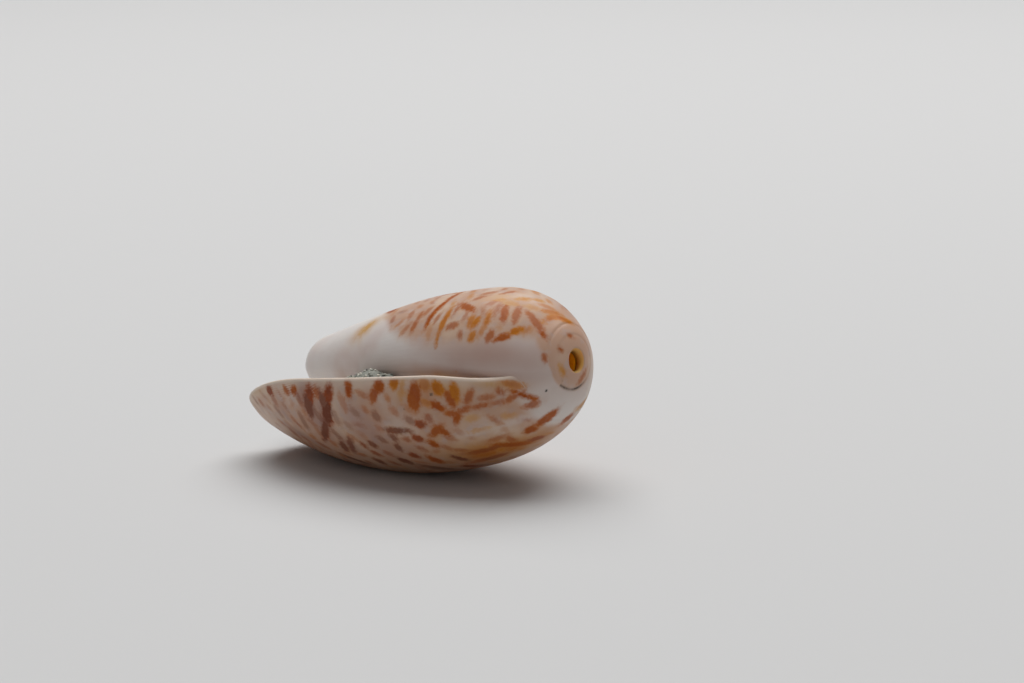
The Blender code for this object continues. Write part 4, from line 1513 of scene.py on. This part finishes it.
@dataclass(frozen=True)
class Enamel:
    """The shell's finish: cream enamel, brown marks, white callus and an orange hole, with painted
    shade in the lip's crevice and near the ground.
    """

    cream: tuple[float, float, float] = (0.66, 0.49, 0.37)
    blush: tuple[float, float, float] = (0.57, 0.36, 0.26)
    lilac: tuple[float, float, float] = (0.52, 0.40, 0.36)
    white: tuple[float, float, float] = (0.76, 0.71, 0.675)
    callus_blush: tuple[float, float, float] = (0.70, 0.60, 0.56)
    # Painted shade: the warm brown of the crevice where the callus meets the lip.
    crevice: tuple[float, float, float] = (0.42, 0.24, 0.18)
    edge: tuple[float, float, float] = (0.74, 0.62, 0.52)
    ochre: tuple[float, float, float] = (0.60, 0.33, 0.10)
    plum: tuple[float, float, float] = (0.30, 0.16, 0.14)
    rust: tuple[float, float, float] = (0.47, 0.15, 0.02)
    haze: tuple[float, float, float] = (0.45, 0.26, 0.165)
    hole: tuple[float, float, float] = (0.96, 0.51, 0.19)
    bevel: tuple[float, float, float] = (0.70, 0.35, 0.11)
    dirt: tuple[float, float, float] = (0.03, 0.025, 0.02)
    browns: tuple = (
        (0.0, (0.60, 0.32, 0.08)),
        (0.3, (0.53, 0.18, 0.012)),
        (0.55, (0.40, 0.092, 0.005)),
        (0.75, (0.32, 0.055, 0.004)),
        (1.0, (0.18, 0.045, 0.018)),
    )
    # A pinkish brown, used both as the real halo round the marks and as painted shade near the
    # ground.
    halo: tuple[float, float, float] = (0.52, 0.27, 0.15)
    spread: float = 0.12
    roughness: float = 0.36

    def base(self, paint: Paint, broad: Field, middle: Field,
             strands: Field) -> bpy.types.NodeSocket:
        """The colour between the marks: cream with pink, lilac and white in it, with painted shade
        that darkens it towards the ground.
        """
        base = paint.mix(smooth(0.35, 0.57, broad), self.cream, self.blush)
        base = paint.mix(smooth(0.5, 0.72, middle) * 0.6, base, self.lilac)
        base = paint.mix(smooth(0.5, 0.7, strands) * 0.3, base, self.white)
        frost = clamp(paint.attribute("frost") * (0.6 + middle * 0.8), 0.0, 1.0)
        base = paint.mix(frost, base, self.white)
        # Painted shade: within 8 mm of the ground the enamel is mixed towards a darker brown.
        base = paint.mix(smooth(8.0 * MM, 0.0, paint.height()) * 0.75, base, self.halo)
        return paint.mix(paint.attribute("pale") * 0.45, base, self.edge)

    def material(self) -> bpy.types.Material:
        """Builds the material."""
        paint = Paint("enamel")
        broad, middle, fine = (paint.noise(scale) for scale in (0.22, 0.9, 3.2))
        growth, station = paint.attribute("growth"), paint.attribute("station")
        strands = paint.noise(0.55, 3.0, 0.6, paint.vector(
            growth * (0.12 * MM), station * (0.45 * MM), 0.0))
        strands = blend(smooth(1.0, 5.0, station), 0.45, strands)
        base = self.base(paint, broad, middle, strands)
        plum = clamp(paint.attribute("plum") * (0.6 + middle * 0.8), 0.0, 1.0)
        base = paint.mix(plum, base, self.plum)
        callus = smooth(0.12, 0.92, paint.attribute("callus") + (middle - 0.5) * 0.4)
        glaze = paint.mix(smooth(0.45, 0.75, broad), self.white, self.callus_blush)
        # Painted shade: the callus turns warm brown in the crevice along the lip.
        glaze = paint.mix(paint.attribute("crevice"), glaze, self.crevice)
        base = paint.mix(callus, base, glaze)
        ochre = clamp(paint.attribute("ochre") * (0.5 + fine) * (0.7 + middle * 0.6), 0.0, 1.0)
        base = paint.mix(ochre, base, self.ochre)
        haze = clamp(paint.attribute("haze") * (0.6 + middle * 0.8), 0.0, 1.0)
        base = paint.mix(haze, base, self.haze)
        rust = clamp(paint.attribute("rust") * (0.2 + strands + fine * 0.6), 0.0, 1.0)
        base = paint.mix(rust, base, self.rust)
        edge = paint.attribute("mark") - self.spread
        edge = edge + (fine - 0.5) * 0.36 + (middle - 0.5) * 0.5
        strength = paint.attribute("mark_strength")
        base = paint.mix(smooth(0.42, -0.1, edge) * strength * 0.35, base, self.halo)
        mark = smooth(0.23, -0.17, edge) * strength
        mark = mark * (1.0 - 0.05 * smooth(0.45, 0.7, fine))
        tone = clamp(paint.attribute("mark_tone") + (middle - 0.5) * 0.4
                     + smooth(0.0, -0.3, edge) * 0.1, 0.0, 1.0)
        base = paint.mix(mark, base, paint.ramp(tone, self.browns))
        base = paint.mix(paint.attribute("rim") * 0.9, base, self.edge)
        speck = smooth(0.12, -0.05, paint.attribute("speck") + (fine - 0.5) * 0.05)
        base = paint.mix(speck, base, self.dirt)
        grime = clamp(paint.attribute("grime") * paint.attribute("suture")
                      * (0.4 + fine * 1.2), 0.0, 1.0)
        base = paint.mix(grime, base, self.dirt)
        depth = paint.attribute("hole")
        hole = smooth(0.1, 0.4, depth)
        base = paint.mix(hole, base, paint.mix(smooth(0.5, 0.9, depth), self.bevel, self.hole))
        paint.set(base_color=base, roughness=self.roughness + (middle - 0.5) * 0.1,
                  subsurface_weight=0.08 + hole * 0.9, subsurface_radius=(1.0, 0.8, 0.5),
                  subsurface_scale=(0.4 + hole * 3.4) * MM, coat_weight=0.06,
                  coat_roughness=0.1, specular_ior_level=0.12, ior=1.45)
        paint.bump(strands * 0.7 + fine * 0.3, 0.02)
        return paint.material


@dataclass(frozen=True)
class SandFinish:
    """Damp grey-green sand with dark and pale grains."""

    shades: tuple = (
        (0.0, (0.06, 0.065, 0.055)),
        (0.18, (0.15, 0.155, 0.13)),
        (0.5, (0.34, 0.34, 0.29)),
        (0.8, (0.50, 0.48, 0.41)),
        (1.0, (0.74, 0.70, 0.60)),
    )

    def material(self) -> bpy.types.Material:
        """Builds the material."""
        paint = Paint("sand")
        speckle = paint.noise(5.0, 3.0, 0.6)
        shade = clamp(paint.attribute("shade") + (speckle - 0.5) * 0.35, 0.0, 1.0)
        paint.set(base_color=paint.ramp(shade, self.shades), roughness=0.75)
        paint.bump(speckle, 0.03)
        return paint.material


@dataclass
class SandLump:
    """The sand caught in the cavity: a lump covered in grains."""

    grain: float = 0.26
    grains_per_mm2: float = 7.0
    grain_spread: float = 0.35
    lump_height: float = 0.22
    seed: int = 11

    def build(self, material: bpy.types.Material) -> bpy.types.Object:
        """Makes the lump from the CAD sand's form and scatters grains on it."""
        mesh = bmesh.new()
        mesh.from_mesh(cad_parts["sand"].data)
        bmesh.ops.remove_doubles(mesh, verts=mesh.verts, dist=1e-7)
        bmesh.ops.recalc_face_normals(mesh, faces=mesh.faces)
        start = bpy.data.meshes.new("sand_form")
        mesh.to_mesh(start)
        mesh.free()
        graph = Graph("scatter_sand", {
            "Grain": self.grain * MM, "Grains per area": self.grains_per_mm2 / MM**2,
            "Grain spread": self.grain_spread, "Lump height": self.lump_height * MM})
        finer = graph.node("GeometryNodeSubdivideMesh")
        graph.link(graph.entry.outputs["Geometry"], finer.inputs["Mesh"])
        finer.inputs["Level"].default_value = 1
        noise = graph.node("ShaderNodeTexNoise")
        noise.inputs["Scale"].default_value = 1.1 / MM
        rough = graph.node("GeometryNodeSetPosition")
        facing = graph.node("GeometryNodeInputNormal")
        push = graph.node("ShaderNodeVectorMath", operation="SCALE")
        graph.link(facing.outputs[0], push.inputs[0])
        graph.link((Field(graph, noise.outputs[0]) - 1.35) * graph.size("Lump height"),
                   shown(push.inputs, "Scale"))
        graph.link(finer.outputs[0], rough.inputs["Geometry"])
        graph.link(push.outputs[0], rough.inputs["Offset"])
        scatter = graph.node("GeometryNodeDistributePointsOnFaces", distribute_method="POISSON")
        graph.link(rough.outputs[0], scatter.inputs["Mesh"])
        graph.link(graph.size("Grain") * 0.8, shown(scatter.inputs, "Distance Min"))
        graph.link(graph.size("Grains per area"), shown(scatter.inputs, "Density Max"))
        scatter.inputs["Seed"].default_value = self.seed
        ball = graph.node("GeometryNodeMeshIcoSphere")
        graph.link(graph.size("Grain") * 0.5, ball.inputs["Radius"])
        ball.inputs["Subdivisions"].default_value = 2
        round_off = graph.node("GeometryNodeSetShadeSmooth")
        graph.link(ball.outputs[0], round_off.inputs["Geometry"])
        spin = self.random(graph, "FLOAT_VECTOR", (0.0,) * 3, (2.0 * math.pi,) * 3, 1)
        low, high = 1.0 - self.grain_spread, 1.0 + self.grain_spread
        scale = self.random(graph, "FLOAT_VECTOR", (low,) * 3, (high,) * 3, 2)
        shade = self.random(graph, "FLOAT", 0.0, 1.0, 3)
        put = graph.node("GeometryNodeInstanceOnPoints")
        graph.link(scatter.outputs["Points"], put.inputs["Points"])
        graph.link(round_off.outputs[0], put.inputs["Instance"])
        graph.link(spin, put.inputs["Rotation"])
        graph.link(scale, put.inputs["Scale"])
        shaded = graph.store(put.outputs[0], "shade", Field(graph, shade), "INSTANCE")
        lump = graph.store(rough.outputs[0], "shade", 0.3)
        both = graph.node("GeometryNodeJoinGeometry")
        graph.link(lump, both.inputs[0])
        graph.link(shaded, both.inputs[0])
        graph.close(both.outputs[0], material)
        piece = bpy.data.objects.new("sand_grains", graph.apply(start, "sand_grains"))
        bpy.context.scene.collection.objects.link(piece)
        return piece

    def random(self, graph: Graph, kind: str, low: object, high: object,
               seed: int) -> bpy.types.NodeSocket:
        """A seeded random number or vector for each grain."""
        made = graph.node("FunctionNodeRandomValue", data_type=kind)
        shown(made.inputs, "Min").default_value = low
        shown(made.inputs, "Max").default_value = high
        shown(made.inputs, "Seed").default_value = self.seed + seed
        return next(socket for socket in made.outputs if socket.enabled)


@dataclass
class Studio:
    """A plain pale floor that sweeps up behind across the photograph's line of sight, soft lamps and
    a sky.
    """

    floor_colour: tuple[float, float, float] = (0.58, 0.575, 0.57)
    reach: float = 3.0
    sweep: float = 0.9
    sky: tuple[float, float, float] = (0.93, 0.96, 1.0)
    sky_strength: float = 0.17
    lamps: tuple = (
        ("window", 0.36, 0.08, 0.95, 1.2, 14.4),
        ("front fill", -0.9, -0.4, 0.6, 1.2, 0.8),
    )

    def build(self, view: Viewpoint) -> bpy.types.Object:
        """Makes the floor, the lamps and the sky.

        Args:
            view: where the photograph was taken from, which the sweep stands across.

        Returns:
            The floor.
        """
        right, _, back = view.axes()
        away = unit(np.array([-back[0], -back[1], 0.0]))
        turns = np.linspace(0.0, 0.5 * math.pi, 24)
        profile = [(-self.reach, 0.0), (self.sweep, 0.0)]
        profile += [(self.sweep + self.sweep * math.sin(turn),
                     self.sweep * (1.0 - math.cos(turn))) for turn in turns[1:]]
        profile.append((2.0 * self.sweep, self.reach))
        points, faces = [], []
        for ahead, height in profile:
            for side in (-self.reach, self.reach):
                points.append(away * ahead + right * side + np.array([0.0, 0.0, height]))
        for index in range(len(profile) - 1):
            first = 2 * index
            faces.append((first, first + 1, first + 3, first + 2))
        data = bpy.data.meshes.new("floor")
        data.from_pydata([tuple(point) for point in points], [], faces)
        data.shade_smooth()
        paint = Paint("floor")
        paint.set(base_color=self.floor_colour, roughness=0.9)
        data.materials.append(paint.material)
        floor = bpy.data.objects.new("floor", data)
        bpy.context.scene.collection.objects.link(floor)
        for name, ahead, aside, height, size, power in self.lamps:
            place = away * ahead + right * aside + np.array([0.0, 0.0, height])
            self.lamp(name, tuple(place), size, power)
        world = bpy.data.worlds.new("studio")
        world.use_nodes = True
        sky = world.node_tree.nodes["Background"]
        sky.inputs["Color"].default_value = (*self.sky, 1.0)
        sky.inputs["Strength"].default_value = self.sky_strength
        bpy.context.scene.world = world
        bpy.context.scene.view_settings.view_transform = "Standard"
        return floor

    def lamp(self, name: str, place: tuple[float, float, float], size: float,
             power: float) -> None:
        """Hangs a square soft lamp that points at the shell."""
        data = bpy.data.lights.new(name, "AREA")
        data.size = size
        data.energy = power
        lamp = bpy.data.objects.new(name, data)
        lamp.location = place
        lamp.rotation_mode = "QUATERNION"
        lamp.rotation_quaternion = (-Vector(place)).to_track_quat("-Z", "Y")
        bpy.context.scene.collection.objects.link(lamp)


def dressed_shell(view: Viewpoint) -> tuple[bpy.types.Object, np.ndarray]:
    """Builds the shell, its relief and its marks.

    Args:
        view: where the photograph was taken from.

    Returns:
        The shell and the middle of its axis.
    """
    shell = OliveShell()
    enamel = Enamel().material()
    data = shell.welded(shell.coiled(enamel))
    centre = shell.settled(data)
    shell.softened(data)
    shell.relieved(data)
    markings = Markings(data, view, centre)
    marks = markings.placed(LIP_ROW + LOWER_WALL + UPPER_BODY)
    markings.paint(marks + Flecks().grow(data, view, centre, marks), "mark")
    markings.paint(markings.placed(SPECKS), "speck")
    markings.cloud(OCHRE_CLOUDS, "ochre")
    markings.cloud(PLUM_CLOUDS, "plum")
    markings.cloud(WHITE_CLOUDS, "frost")
    markings.cloud(GRIME, "grime")
    # The painted shade in the crevice along the lip.
    markings.cloud(CREVICE_SHADE_CLOUDS, "crevice")
    markings.cloud(RUST_CLOUDS, "rust")
    markings.cloud(HAZE_CLOUDS, "haze")
    data.materials.clear()
    data.materials.append(enamel)
    data.shade_smooth()
    piece = bpy.data.objects.new("speckled_shell", data)
    bpy.context.scene.collection.objects.link(piece)
    return piece, centre


def main() -> None:
    """Builds the shell, the sand, the studio and the camera."""
    logging.basicConfig(level=logging.INFO, format="%(message)s")
    view = Viewpoint()
    shell, centre = dressed_shell(view)
    sand = SandLump().build(SandFinish().material())
    for piece, node in ((shell, "shell"), (sand, "sand")):
        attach(piece, "root")
        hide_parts(node)
        log.info("%s: %d faces", piece.name, len(piece.data.polygons))
    Studio().build(view)
    view.camera(centre)
    log.info("axis middle %s", centre / MM)


if __name__ == "__main__":
    main()
